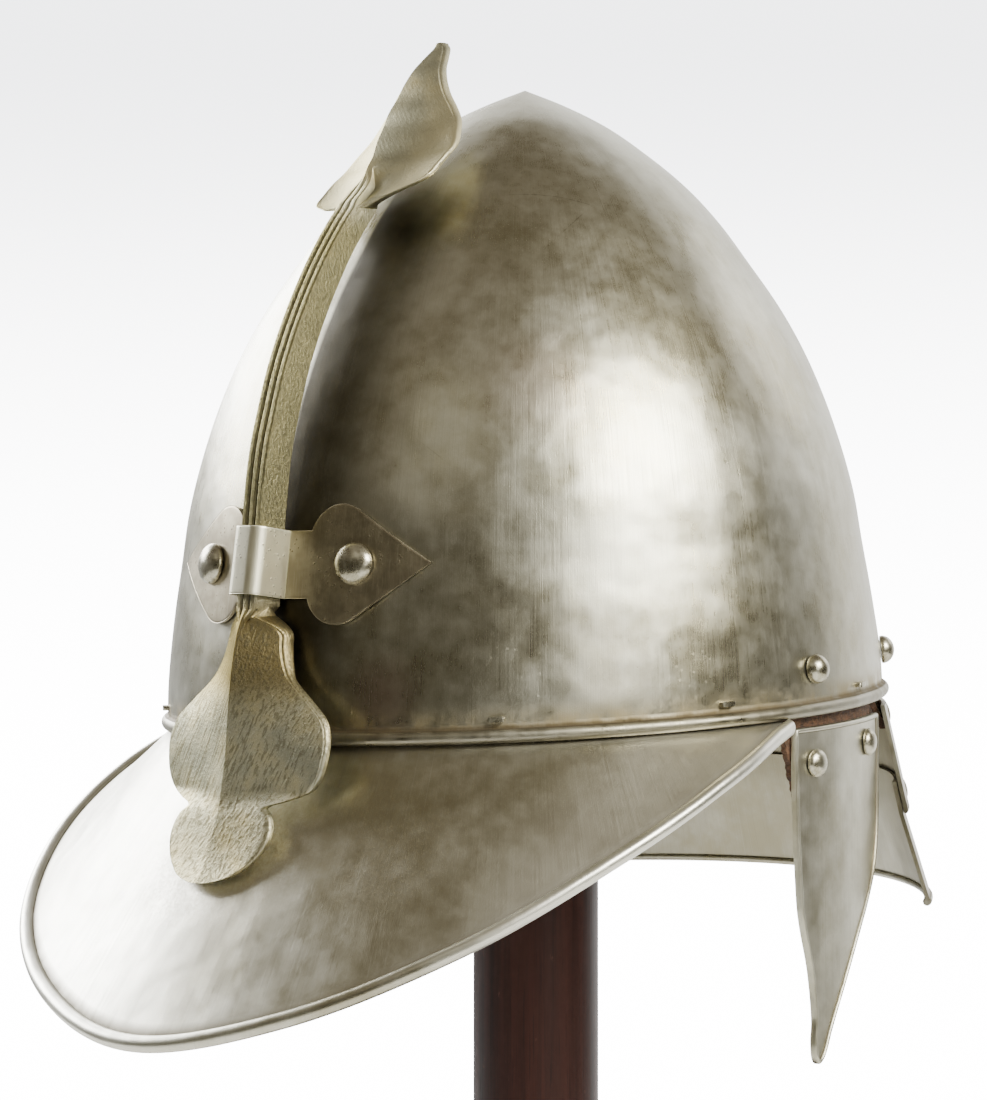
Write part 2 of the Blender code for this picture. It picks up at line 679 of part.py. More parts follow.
def cheek_height(share):
    """Height at a share of the cheek piece's drop."""
    return -RIM_BEAD_RADIUS - CHEEK_TOP_GAP - CHEEK_DROP * share


def build_cheek(parent, side, name):
    outline = [(share * CHEEK_WIDTH, -down * CHEEK_DROP) for share, down in CHEEK_OUTLINE]
    bm = plate_from_outline(outline, 0.010, CHEEK_PLATE, CHEEK_EDGE_WIDTH, CHEEK_EDGE_RISE)
    back = cheek_face_radius() - CHEEK_PLATE
    top = cheek_height(0)

    def mapping(x, y, z):
        return settle(round_axis(side * cheek_angle(x / CHEEK_WIDTH), back + z, top + y))

    bend(bm, mapping)
    add_object("cheek_piece_" + name, bm, STEEL, parent)
    for number, (share, down) in enumerate(CHEEK_RIVETS, 1):
        place = plate_frame(
            lambda angle, height, out: round_axis(angle, cheek_face_radius() + out, height),
            side * cheek_angle(share), cheek_height(down))
        add_rivet(f"cheek_rivet_{name}_{number}", CHEEK_RIVET_RADIUS, CHEEK_RIVET_HEIGHT,
                  POLISHED_STEEL, parent, place)


def build_cheek_leather(parent, side, name):
    outer = cheek_face_radius() - CHEEK_PLATE - GAP
    start = PEAK_HALF_ANGLE + 0.9
    margin = CHEEK_LEATHER_MARGIN / SKULL_RADIUS * 180 / pi
    end = cheek_angle(1) - margin
    width = radians(end - start) * SKULL_RADIUS
    front_edge = radians(cheek_angle(0.06) - start) * SKULL_RADIUS
    outline = [(0, LEATHER_RISE), (0, -0.004), (0.0008, -0.010), (0.0024, -0.015),
               (front_edge, -CHEEK_LEATHER_DROP), (width, -CHEEK_LEATHER_DROP),
               (width, LEATHER_RISE)]
    bm = plate_from_outline(outline, 0.012, LEATHER_THICKNESS)

    def mapping(x, y, z):
        angle = start + x / SKULL_RADIUS * 180 / pi
        face = min(outer, inside_radius(y))
        return settle(round_axis(side * angle, face - LEATHER_THICKNESS + z, y))

    bend(bm, mapping)
    add_object("cheek_leather_" + name, bm, BROWN_LEATHER, parent)


# Neck guard
def neck_upper_radius(height):
    """Middle radius of the upper lame."""
    top = RIM_BEAD_RADIUS + NECK_TOP_GAP
    return SKULL_RADIUS + 0.0004 + NECK_UPPER_FLARE * (-height - top) / (NECK_UPPER_DROP - top)


def neck_lower_radius(height):
    """Middle radius of the lower lame."""
    step = NECK_PLATE + GAP + 0.0001
    bottom = neck_upper_radius(-NECK_UPPER_DROP) - step
    if height > -NECK_UPPER_DROP:
        return neck_upper_radius(height) - step
    share = (-height - NECK_UPPER_DROP) / (NECK_LOWER_DROP - NECK_UPPER_DROP)
    return bottom + NECK_LOWER_FLARE * share


def lame_section(angle, radius_at, heights, bead):
    """Closed section of a lame at an angle, with a rolled lower edge."""
    half = NECK_PLATE / 2
    points = [(radius_at(height) + half, height) for height in heights]
    bottom = heights[-1] - bead * 0.6
    middle = radius_at(heights[-1])
    for turn in (40, -10, -60, -110, -160, -210):
        points.append((middle + bead * cos(radians(turn)), bottom + bead * sin(radians(turn))))
    points += [(radius_at(height) - half, height) for height in reversed(heights)]
    return [settle(round_axis(angle, radius, height)) for radius, height in points]


def build_neck_guard(parent):
    top = -RIM_BEAD_RADIUS - NECK_TOP_GAP
    upper = [top, (top - NECK_UPPER_DROP) / 2, -NECK_UPPER_DROP + NECK_PLATE]
    start = -NECK_UPPER_DROP + NECK_OVERLAP
    lower = [start, -NECK_UPPER_DROP, -(NECK_UPPER_DROP + NECK_LOWER_DROP) / 2,
             -NECK_LOWER_DROP + NECK_BEAD_RADIUS * 1.5]
    angles = [NECK_START_ANGLE + (360 - 2 * NECK_START_ANGLE) * step / NECK_STEPS
              for step in range(NECK_STEPS + 1)]
    sections = [lame_section(angle, neck_upper_radius, upper, NECK_PLATE * 0.52) for angle in angles]
    add_object("neck_guard_upper", lofted(sections), STEEL, parent)
    sections = [lame_section(angle, neck_lower_radius, lower, NECK_BEAD_RADIUS) for angle in angles]
    add_object("neck_guard_lower", lofted(sections), STEEL, parent)


def neck_leather_line():
    """Outer line of a neck strap, from inside the skull down behind the upper lame's top."""
    half = NECK_PLATE / 2 + GAP
    first = -RIM_BEAD_RADIUS - NECK_TOP_GAP
    return [(inside_radius(LEATHER_RISE), LEATHER_RISE),
            (inside_radius(LEATHER_RISE / 2), LEATHER_RISE / 2),
            (inside_radius(0), -RIM_BEAD_RADIUS),
            (inside_radius(0), first),
            (neck_upper_radius(-NECK_LEATHER_DROP) - half, -NECK_LEATHER_DROP)]


def build_neck_leather(parent, angle, name):
    line = neck_leather_line()
    points = line + [(radius - LEATHER_THICKNESS, height) for radius, height in reversed(line)]
    half = NECK_LEATHER_WIDTH / 2 / SKULL_RADIUS * 180 / pi
    sections = []
    for share in (-1, -0.5, 0, 0.5, 1):
        turn = angle + half * share
        sections.append([settle(round_axis(turn, radius, height)) for radius, height in points])
    add_object("neck_leather_" + name, lofted(sections), BROWN_LEATHER, parent)


def add_neck_rivets(parent, angle, name):
    """One rivet through the upper lame and a strap, and one where the lames overlap."""
    first = -(RIM_BEAD_RADIUS + NECK_TOP_GAP + NECK_LEATHER_DROP) / 2
    second = -NECK_UPPER_DROP + NECK_OVERLAP / 2
    slant = atan(NECK_UPPER_FLARE / (NECK_UPPER_DROP - RIM_BEAD_RADIUS - NECK_TOP_GAP))

    def face(turn, level, out):
        radius = neck_upper_radius(level) + NECK_PLATE / 2 / cos(slant) + out * cos(slant)
        return round_axis(turn, radius, level + out * sin(slant))

    for label, height in (("upper", first), ("lower", second)):
        add_rivet(f"neck_rivet_{name}_{label}", NECK_RIVET_RADIUS, NECK_RIVET_HEIGHT, STEEL,
                  parent, plate_frame(face, angle, height))


# Rivets and pins on the skull
def build_skull_fastenings(parent):
    rivets = (("left_front", CHEEK_SKULL_RIVET_ANGLE), ("left_back", NECK_SKULL_RIVET_ANGLE),
              ("back", 180.0), ("right_back", -NECK_SKULL_RIVET_ANGLE),
              ("right_front", -CHEEK_SKULL_RIVET_ANGLE))
    for name, angle in rivets:
        add_rivet("skull_rivet_" + name, SKULL_RIVET_RADIUS, SKULL_RIVET_PROUD, POLISHED_STEEL,
                  parent, skull_frame(angle, SKULL_RIVET_RISE, 0.0))
    for side, name in ((1, "left"), (-1, "right")):
        for number, angle in enumerate(RIM_PIN_ANGLES, 1):
            bm = bmesh.new()
            bmesh.ops.create_cube(bm, size=1)
            bmesh.ops.scale(bm, verts=bm.verts, vec=(RIM_PIN_WIDTH, RIM_PIN_HEIGHT, RIM_PIN_PROUD))
            upright = [edge for edge in bm.edges
                       if abs((edge.verts[0].co - edge.verts[1].co).normalized().y) > 0.9
                       and edge.verts[0].co.z > 0]
            bmesh.ops.bevel(bm, geom=upright, offset=RIM_PIN_PROUD * 0.5, segments=2,
                            profile=0.5, affect="EDGES", material=-1)
            lift = GAP + RIM_PIN_PROUD / 2
            place = skull_frame(side * angle, RIM_PIN_RISE, lift)
            add_object(f"rim_pin_{name}_{number}", bm, DARK_STEEL, parent, place)


# Stand
def build_stand():
    base = [(0, 0), (BASE_RADIUS, 0), (BASE_RADIUS, BASE_THICKNESS - BASE_CHAMFER),
            (BASE_RADIUS - BASE_CHAMFER, BASE_THICKNESS), (0, BASE_THICKNESS)]
    add_object("stand_base", turned(base, 40), MAHOGANY, None)
    top = head_top()
    edge = top[-1][1]
    bottom = edge - HEAD_DEPTH
    head = turned(top + [(HEAD_RADIUS, edge - HEAD_DEPTH * 0.7), (HEAD_RADIUS * 0.8, bottom),
                         (0, bottom)], 27)
    for vertex in head.verts:
        if vertex.co.z > edge - HEAD_DEPTH / 2:
            vertex.co.y -= skull_bow(vertex.co.z)
            vertex.co = settle(vertex.co)
    bmesh.ops.translate(head, verts=head.verts, vec=(0, -HELMET_FORWARD, RIM_HEIGHT))
    add_object("stand_head", head, MAHOGANY, None)
    post_top = RIM_HEIGHT + bottom - GAP
    post = [(0, BASE_THICKNESS + GAP), (POST_RADIUS, BASE_THICKNESS + GAP),
            (POST_RADIUS, post_top), (0, post_top)]
    add_object("stand_post", turned(post, 32), MAHOGANY, None)


def head_top():
    """Upper face of the stand's head, just under the skull's inner face, as (radius, height)."""
    line = skull_inner_line()
    outside = next(index for index, point in enumerate(line) if point[0] > HEAD_RADIUS)
    (inner_radius, inner_height), (outer_radius, outer_height) = line[outside - 1:outside + 1]
    share = (HEAD_RADIUS - inner_radius) / (outer_radius - inner_radius)
    edge = (HEAD_RADIUS, inner_height + (outer_height - inner_height) * share)
    return [(radius, height - GAP * 2) for radius, height in line[:outside] + [edge]]


def main():
    for old in list(bpy.data.objects):
        bpy.data.objects.remove(old, do_unlink=True)
    helmet = bpy.data.objects.new("helmet", None)
    bpy.context.scene.collection.objects.link(helmet)
    helmet.location = (0, -HELMET_FORWARD, RIM_HEIGHT)
    build_skull(helmet)
    build_peak(helmet)
    build_nasal(helmet)
    build_bracket(helmet)
    for side, name in ((1, "left"), (-1, "right")):
        build_cheek(helmet, side, name)
        build_cheek_leather(helmet, side, name)
    build_neck_guard(helmet)
    for name, angle in (("left", NECK_LEATHER_ANGLE), ("back", 180.0), ("right", -NECK_LEATHER_ANGLE)):
        build_neck_leather(helmet, angle, name)
        add_neck_rivets(helmet, angle, name)
    build_skull_fastenings(helmet)
    build_stand()


main()
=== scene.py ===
# %% [markdown]
# An ottoman helmet of tarnished steel stands on a turned wooden post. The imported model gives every
# piece's true place and size. This lesson replaces its faceted pieces with smooth ones of the same
# named sizes and gives each one the finish of the real metal, leather or wood.

from bisect import bisect_right
from math import asin, atan, atan2, cos, hypot, pi, radians, sin

import bmesh
import bpy
from mathutils import Matrix, Vector, noise


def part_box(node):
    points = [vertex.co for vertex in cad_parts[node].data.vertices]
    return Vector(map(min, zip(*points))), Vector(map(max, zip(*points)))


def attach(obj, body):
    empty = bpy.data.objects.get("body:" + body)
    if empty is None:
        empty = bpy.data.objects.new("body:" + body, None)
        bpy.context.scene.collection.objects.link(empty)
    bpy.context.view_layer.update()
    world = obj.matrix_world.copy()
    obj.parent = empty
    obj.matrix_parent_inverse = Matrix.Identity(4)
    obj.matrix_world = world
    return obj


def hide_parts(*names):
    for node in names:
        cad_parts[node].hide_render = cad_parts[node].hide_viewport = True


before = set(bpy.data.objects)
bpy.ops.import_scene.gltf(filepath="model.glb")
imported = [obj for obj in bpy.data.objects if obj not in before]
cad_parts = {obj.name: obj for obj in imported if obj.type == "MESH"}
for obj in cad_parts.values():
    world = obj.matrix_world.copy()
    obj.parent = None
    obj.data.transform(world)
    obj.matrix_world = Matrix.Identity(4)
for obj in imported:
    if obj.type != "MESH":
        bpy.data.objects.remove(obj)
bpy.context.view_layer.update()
FIXED = "helmet_and_stand"
SLIDING = "nasal"

# %% [markdown]
# The camera stands to the helmet's left front, almost level with its rim, with a long lens so that
# the peak isn't blown up. It looks at a point a little above the rim, and nothing is shifted: the
# long lens alone gives the photograph's framing.

# %% Camera
IMAGE_WIDTH = 987
IMAGE_HEIGHT = 1100
SENSOR = 36.0
FOCAL_PIXELS = 3849.6
CAMERA_AZIMUTH = 42.5
CAMERA_ELEVATION = 1.924
CAMERA_DISTANCE = 1.200
RIM_PIXEL = (525.05, 701.75)
RIM_CENTRE = Vector((0, -0.005, 0.250))

turn = radians(CAMERA_AZIMUTH)
rise = radians(CAMERA_ELEVATION)
back = Vector((sin(turn) * cos(rise), -cos(turn) * cos(rise), sin(rise)))
right = Vector((cos(turn), sin(turn), 0))
up = back.cross(right)
metres_per_pixel = CAMERA_DISTANCE / FOCAL_PIXELS
target = (RIM_CENTRE + right * (IMAGE_WIDTH / 2 - RIM_PIXEL[0]) * metres_per_pixel
          + up * (RIM_PIXEL[1] - IMAGE_HEIGHT / 2) * metres_per_pixel)
lens = bpy.data.cameras.new("studio_camera")
lens.sensor_width = SENSOR
lens.lens = FOCAL_PIXELS / IMAGE_HEIGHT * SENSOR
lens.clip_start = 0.05
camera = bpy.data.objects.new("studio_camera", lens)
camera.location = RIM_CENTRE + back * CAMERA_DISTANCE
camera.rotation_euler = (target - camera.location).to_track_quat("-Z", "Y").to_euler()
bpy.context.scene.collection.objects.link(camera)
bpy.context.scene.camera = camera
print("camera", tuple(round(value, 4) for value in camera.location), "lens", round(lens.lens, 1))

# %% [markdown]
# Shader sums are easier to read as sums. This small class wraps a socket, so that `a * 2 + b` adds
# the Math nodes, and `recipe.node` makes any other node from its settings and inputs.

# %% Shader sums as Python sums
class Value:
    """A socket whose sums add Math nodes."""

    def __init__(self, recipe, socket):
        self.recipe = recipe
        self.socket = socket

    def math(self, operation, *others, clamp=False):
        settings = {"operation": operation, "use_clamp": clamp}
        return self.recipe.node("ShaderNodeMath", settings, dict(enumerate((self, *others))))

    def __add__(self, other):
        return self.math("ADD", other)

    def __sub__(self, other):
        return self.math("SUBTRACT", other)

    def __mul__(self, other):
        return self.math("MULTIPLY", other)

    def __truediv__(self, other):
        return self.math("DIVIDE", other)

    def __rsub__(self, other):
        return self.recipe.node("ShaderNodeMath", {"operation": "SUBTRACT"}, {0: other, 1: self})

    __radd__ = __add__
    __rmul__ = __mul__

    def ramp(self, start, end):
        """0 below start, 1 above end, smooth between them."""
        return self.recipe.node("ShaderNodeMapRange", {"interpolation_type": "SMOOTHSTEP"},
                                {0: self, 1: start, 2: end, 3: 0.0, 4: 1.0})


class Recipe:
    """A node tree that is written as expressions."""

    def __init__(self, tree):
        self.tree = tree

    def node(self, kind, settings=None, inputs=None, output=0):
        made = self.tree.nodes.new(kind)
        for key, setting in (settings or {}).items():
            setattr(made, key, setting)
        for key, value in (inputs or {}).items():
            if isinstance(value, Value):
                self.tree.links.new(value.socket, made.inputs[key])
            else:
                made.inputs[key].default_value = value
        return Value(self, made.outputs[output])

    def split(self, vector):
        made = self.node("ShaderNodeSeparateXYZ", inputs={0: vector})
        return [Value(self, socket) for socket in made.socket.node.outputs]

    def join(self, x, y, z):
        return self.node("ShaderNodeCombineXYZ", inputs={0: x, 1: y, 2: z})

    def noise(self, vector, scale, detail=2.0, roughness=0.5):
        return self.node("ShaderNodeTexNoise", inputs={"Vector": vector, "Scale": scale,
                                                       "Detail": detail, "Roughness": roughness})

    def mix(self, share, first, second):
        """Colour that goes from first to second as share goes from 0 to 1."""
        return self.node("ShaderNodeMix", {"data_type": "RGBA"}, {0: share, 6: first, 7: second}, 2)


print("shader helpers ready")

# %% [markdown]
# A metal shows its surroundings more than its own colour, so the room matters as much as the steel.
# Behind the helmet is a white sheet, in front of it a dim brown room with bright windows on both
# sides. The world gives the sheet and the room, and soft area lights give the windows.

# %% Room round the helmet
WHITE_SHEET = (2.2, 2.2, 2.15, 1)
SHEET_SHADE = (0.55, 0.56, 0.56, 1)
DIM_ROOM = (0.085, 0.076, 0.052, 1)
CEILING = (0.26, 0.225, 0.165, 1)
BACKDROP_TOP = (4.3, 4.35, 4.5, 1)
BACKDROP_LOW = (16.0, 16.0, 16.0, 1)

world = bpy.data.worlds.new("studio")
bpy.context.scene.world = world
world.use_nodes = True
room = Recipe(world.node_tree)
ray = room.node("ShaderNodeTexCoord", output="Generated")
ray_x, ray_y, ray_z = room.split(ray)
behind = ray_x * -back.x + ray_y * -back.y
surroundings = room.mix(ray_z.ramp(0.10, 0.75), DIM_ROOM, CEILING)
low_left = (1 - ray_z.ramp(0.02, 0.26)) * (ray_x * -1).ramp(0.50, 0.90)
sheet = room.mix(low_left, WHITE_SHEET, SHEET_SHADE)
surroundings = room.mix(behind.ramp(0.10, 0.80) * (1 - ray_z.ramp(0.60, 0.92)), surroundings,
                        sheet)
backdrop = room.mix(ray_z.ramp(-0.06, 0.14), BACKDROP_LOW, BACKDROP_TOP)
seen = room.node("ShaderNodeLightPath", output="Is Camera Ray")
shown = room.mix(seen, surroundings, backdrop)
sky = world.node_tree.nodes["Background"]
world.node_tree.links.new(shown.socket, sky.inputs["Color"])
sky.inputs["Strength"].default_value = 1.0
print("world ready")

# %% Soft lights
HELMET_MIDDLE = Vector((0, -0.005, 0.32))
# name, azimuth from the helmet's front, elevation, distance, width, height, power, colour
LIGHTS = (
    ("window", 86, 29, 1.5, 0.88, 0.58, 46.0, (1.0, 0.985, 0.89)),
    ("side_window", -92, 24, 1.6, 1.56, 0.68, 60.0, (0.97, 0.985, 1.0)),
    ("low_window", 68, 4, 1.7, 0.40, 0.30, 1.8, (1.0, 0.98, 0.93)),
    ("high_window", 106, 48, 1.5, 0.50, 0.30, 0.45, (1.0, 0.99, 0.88)),
    ("high_room", 14, 34, 1.6, 0.60, 0.40, 0.55, (1.0, 0.97, 0.82)),
    ("back_window", 165, 28, 1.7, 0.70, 0.60, 2.6, (1.0, 0.98, 0.95)),
)


def toward(azimuth, elevation):
    """Unit vector from the helmet at an azimuth and an elevation in degrees."""
    side, lift = radians(azimuth), radians(elevation)
    return Vector((sin(side) * cos(lift), -cos(side) * cos(lift), sin(lift)))


for name, azimuth, elevation, distance, width, height, power, colour in LIGHTS:
    lamp = bpy.data.lights.new(name, "AREA")
    lamp.shape = "RECTANGLE"
    lamp.size = width
    lamp.size_y = height
    lamp.energy = power
    lamp.color = colour
    holder = bpy.data.objects.new(name, lamp)
    direction = toward(azimuth, elevation)
    holder.location = HELMET_MIDDLE + direction * distance
    holder.rotation_euler = direction.to_track_quat("Z", "Y").to_euler()
    bpy.context.scene.collection.objects.link(holder)
print("lights", len(LIGHTS))

# %% [markdown]
# The floor is a plain pale disc just under the stand. It stays below the camera's view here and
# catches the stand's shadow in views from above.

# %% Floor
FLOOR_RADIUS = 0.72
FLOOR_DROP = 0.0005


def new_object(name, bm):
    """Make a named object of a bmesh, with its place in its mesh."""
    mesh = bpy.data.meshes.new(name)
    bm.to_mesh(mesh)
    bm.free()
    made = bpy.data.objects.new(name, mesh)
    bpy.context.scene.collection.objects.link(made)
    return made


bm = bmesh.new()
bmesh.ops.create_circle(bm, cap_ends=True, segments=128, radius=FLOOR_RADIUS)
bmesh.ops.translate(bm, verts=bm.verts, vec=(0, 0, -FLOOR_DROP))
floor = new_object("pale_floor", bm)
paint = bpy.data.materials.new("pale_floor")
paint.use_nodes = True
paint.node_tree.nodes["Principled BSDF"].inputs["Base Color"].default_value = (0.82, 0.82, 0.81, 1)
paint.node_tree.nodes["Principled BSDF"].inputs["Roughness"].default_value = 0.7
floor.data.materials.append(paint)
print("floor", FLOOR_RADIUS)

# %% [markdown]
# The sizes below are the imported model's own, in metres. Most pieces are worked out in helmet
# coordinates: an angle round the skull, a radius from its axis and a height above the rim bead.
# The rim leans a little forward and down, and the lean fades towards the top of the dome.

# %% Sizes
GAP = 0.0003
RIM_SLOPE = 0.070
SKULL_RADIUS = 0.1108
DOME_HEIGHT = 0.1905
SKULL_WALL = 0.0015
SKULL_BOW = 0.0020
RIM_BEAD_RADIUS = 0.0020
PEAK_REACH = 0.0541
PEAK_DROP = 0.0832
PEAK_HALF_ANGLE = 85.5
PEAK_SHEET = 0.0015
PEAK_BEAD_RADIUS = 0.0025
PEAK_BEAD_RISE = 0.0009
PEAK_FLANGE_HEIGHT = 0.011

# Height and radius of the skull, as shares of DOME_HEIGHT and SKULL_RADIUS
SKULL_OUTLINE = (
    (0.000, 1.000), (0.050, 0.998), (0.110, 0.989), (0.180, 0.973), (0.250, 0.953),
    (0.325, 0.932), (0.400, 0.900), (0.485, 0.853), (0.560, 0.798), (0.640, 0.722),
    (0.710, 0.640), (0.780, 0.551), (0.840, 0.455), (0.890, 0.352), (0.940, 0.229),
    (0.975, 0.108), (1.000, 0.000),
)

# Peak edge: share of PEAK_HALF_ANGLE, then of PEAK_REACH and PEAK_DROP
PEAK_EDGE = (
    (-0.21, 0.912, 0.897), (0.00, 0.978, 1.000), (0.21, 0.912, 0.897), (0.42, 0.813, 0.679),
    (0.63, 0.619, 0.403), (0.84, 0.336, 0.165), (0.93, 0.160, 0.095), (1.00, 0.020, 0.068),
)
print("skull", SKULL_RADIUS, "by", DOME_HEIGHT)

# %% Places round the helmet
def table_row(table, share):
    """Row of a table at a share of its first column, along a smooth curve."""
    keys = [row[0] for row in table]
    share = min(max(share, keys[0]), keys[-1])
    low = min(bisect_right(keys, share) - 1, len(table) - 2)
    span = keys[low + 1] - keys[low]
    part = (share - keys[low]) / span
    values = []
    for column in range(1, len(table[0])):
        start, end = table[low][column], table[low + 1][column]
        slope = before = after = (end - start) / span
        if low > 0:
            earlier = table[low - 1]
            before = (slope + (start - earlier[column]) / (keys[low] - earlier[0])) / 2
        if low + 2 < len(table):
            later = table[low + 2]
            after = (slope + (later[column] - end) / (later[0] - keys[low + 1])) / 2
        level = start * (1 + 2 * part) * (1 - part) ** 2 + end * part ** 2 * (3 - 2 * part)
        lean = before * span * part * (1 - part) ** 2 - after * span * part ** 2 * (1 - part)
        values.append(level + lean)
    return values


def skull_radius(height):
    """Outer radius of the skull at a height above the rim bead."""
    return SKULL_RADIUS * table_row(SKULL_OUTLINE, height / DOME_HEIGHT)[0]


def skull_bow(height):
    """How far the skull leans forward at a height."""
    share = min(max(height / DOME_HEIGHT, 0.0), 1.0)
    return SKULL_BOW * 4 * share * (1 - share)


def skull_slope(height):
    """Angle by which the skull's face looks upwards at a height."""
    step = DOME_HEIGHT / 400
    return atan((skull_radius(height - step) - skull_radius(height + step)) / (2 * step))


def settle(point):
    """Lean a point as the rim leans and lift it onto the stand."""
    share = min(max(point[2] / DOME_HEIGHT, 0.0), 1.0)
    lean = RIM_SLOPE * point[1] * (1 - share)
    return RIM_CENTRE + Vector((point[0], point[1], point[2] + lean))


def round_axis(angle, radius, height):
    """Point at an angle, a radius and a height."""
    side = radians(angle)
    return Vector((radius * sin(side), -radius * cos(side), height))


def on_skull(angle, height, out):
    """Point at a distance out from the skull's outer face."""
    slope = skull_slope(height)
    point = round_axis(angle, skull_radius(height) + out * cos(slope), height + out * sin(slope))
    point.y -= skull_bow(height)
    return point


def placed(face, angle, height, lift):
    """Matrix on a face(angle, height, out), with its Z axis looking out of it."""
    place = settle(face(angle, height, lift))
    outward = (settle(face(angle, height, lift + 0.001)) - place).normalized()
    across = (settle(face(angle + 0.5, height, lift)) - place).normalized()
    upward = outward.cross(across).normalized()
    turned_axes = Matrix((upward.cross(outward), upward, outward)).transposed().to_4x4()
    return Matrix.Translation(place) @ turned_axes


print("rim front at", tuple(round(value, 4) for value in settle(round_axis(0, SKULL_RADIUS, 0))))

# %% [markdown]
# Two helpers make most pieces. `lofted` rolls a grid up through closed sections and caps its ends,
# and `turned` spins an outline about the upright axis. Both can store a number at every vertex,
# which the finishes read as dirt: creases and grooves of the real helmet are dark with it.

# %% Helpers for smooth bodies
def finished(name, bm, material, node_names, body, smooth_angle=40):
    """Make a smooth object of a bmesh, hang it on its body and hide the imported pieces that it
    replaces.
    """
    bmesh.ops.recalc_face_normals(bm, faces=bm.faces)
    if bm.calc_volume(signed=True) < 0:
        bmesh.ops.reverse_faces(bm, faces=bm.faces)
    made = new_object(name, bm)
    made.data.materials.append(material)
    made.data.shade_smooth()
    made.data.set_sharp_from_angle(angle=radians(smooth_angle))
    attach(made, body)
    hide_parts(*node_names)
    print(name, len(made.data.polygons), "faces")
    return made


def lofted(sections, dirt=None):
    """Closed body through equal closed sections: a grid rolled up and capped."""
    around = len(sections[0])
    bm = bmesh.new()
    layer = bm.verts.layers.float.new("dirt")
    grid = bmesh.ops.create_grid(bm, x_segments=around, y_segments=len(sections) - 1, size=1)
    for index, vertex in enumerate(grid["verts"]):
        row, column = divmod(index, around + 1)
        vertex.co = sections[row][column % around]
        vertex[layer] = dirt[row][column % around] if dirt else 0.0
    bmesh.ops.remove_doubles(bm, verts=bm.verts, dist=1e-7)
    open_edges = [edge for edge in bm.edges if edge.is_boundary]
    bmesh.ops.holes_fill(bm, edges=open_edges, sides=0)
    return bm


def turned(outline, sides):
    """Body of revolution about Z from (radius, height) points whose ends lie on the axis."""
    bm = bmesh.new()
    bm.verts.layers.float.new("dirt")
    chain = [bm.verts.new((radius, 0, height)) for radius, height in outline]
    edges = [bm.edges.new(pair) for pair in zip(chain, chain[1:])]
    bmesh.ops.spin(bm, geom=chain + edges, cent=(0, 0, 0), axis=(0, 0, 1), angle=2 * pi,
                   steps=sides, use_merge=True)
    bmesh.ops.remove_doubles(bm, verts=bm.verts, dist=1e-7)
    return bm


print("body helpers ready")

# %% [markdown]
# The finishes share one recipe. The steel's colour wanders between silver and olive brown, fine
# brush lines run over it, and dirt darkens the low places. A streak pattern has to follow the round
# of the helmet, so it reads the direction from the axis instead of X and Y: that has no seam.

# %% Finish
class Finish(Recipe):
    """A material that reads its place on the helmet, metal unless Metallic is set to 0."""

    def __init__(self, name, roughness=0.32):
        self.material = bpy.data.materials.new(name)
        self.material.use_nodes = True
        super().__init__(self.material.node_tree)
        self.shader = self.tree.nodes["Principled BSDF"]
        self.shader.inputs["Metallic"].default_value = 1.0
        self.place = self.node("ShaderNodeTexCoord", output="Object")
        self.x, self.y, self.z = self.split(self.place)
        self.forward = self.y - RIM_CENTRE.y
        self.radius = (self.x * self.x + self.forward * self.forward + 1e-8).math("SQRT")
        self.side = self.x / self.radius
        self.front = self.forward / self.radius
        self.height = self.z - RIM_CENTRE.z - self.forward * RIM_SLOPE
        self.dirt = self.node("ShaderNodeAttribute", {"attribute_name": "dirt"}, output="Fac")
        self.roughness = roughness

    def streaks(self, across, along, detail=2.0, radial=False):
        """Lines that run up the helmet, or out from its axis, with both scales in per metre."""
        ring = SKULL_RADIUS * across
        length = (self.radius if radial else self.z) * along
        return self.noise(self.join(self.side * ring, self.front * ring, length), 1.0, detail)

    def spot(self, centre, radius, softness=0.5):
        """1 within a radius of a place on the helmet, 0 outside it."""
        distance = self.node("ShaderNodeVectorMath", {"operation": "DISTANCE"},
                             {0: self.place, 1: centre}, "Value")
        return 1 - distance.ramp(radius * softness, radius)

    def feed(self, socket, value):
        self.tree.links.new(value.socket, self.shader.inputs[socket])

    def bump(self, height, distance, strength=1.0, after=None):
        inputs = {"Strength": strength, "Distance": distance, "Height": height}
        if after is not None:
            inputs["Normal"] = after
        return self.node("ShaderNodeBump", inputs=inputs)

    def finish(self, colour, roughness, normal):
        self.feed("Base Color", colour)
        self.feed("Roughness", roughness)
        self.feed("Normal", normal)
        return self.material


print("finish helper ready")

# %% Steel of the skull
SILVER = (0.585, 0.57, 0.48, 1)
OLIVE = (0.35, 0.322, 0.225, 1)
BROWN_DIRT = (0.085, 0.062, 0.032, 1)
YELLOW_DIRT = (0.30, 0.235, 0.115, 1)
# Nearly black for the strip beside the bar: partly dirt, partly painted shade.
BAR_DIRT_AND_SHADE = (0.035, 0.029, 0.018, 1)
# Paler steel for the peak's right half and left end: partly bare steel, partly painted reflection.
BARE_STEEL_AND_REFLECTION = (0.80, 0.785, 0.70, 1)
WORN_STEEL = (0.72, 0.71, 0.66, 1)
RED_TINT = (0.42, 0.30, 0.25, 1)
BLACK_LINE = (0.10, 0.09, 0.075, 1)


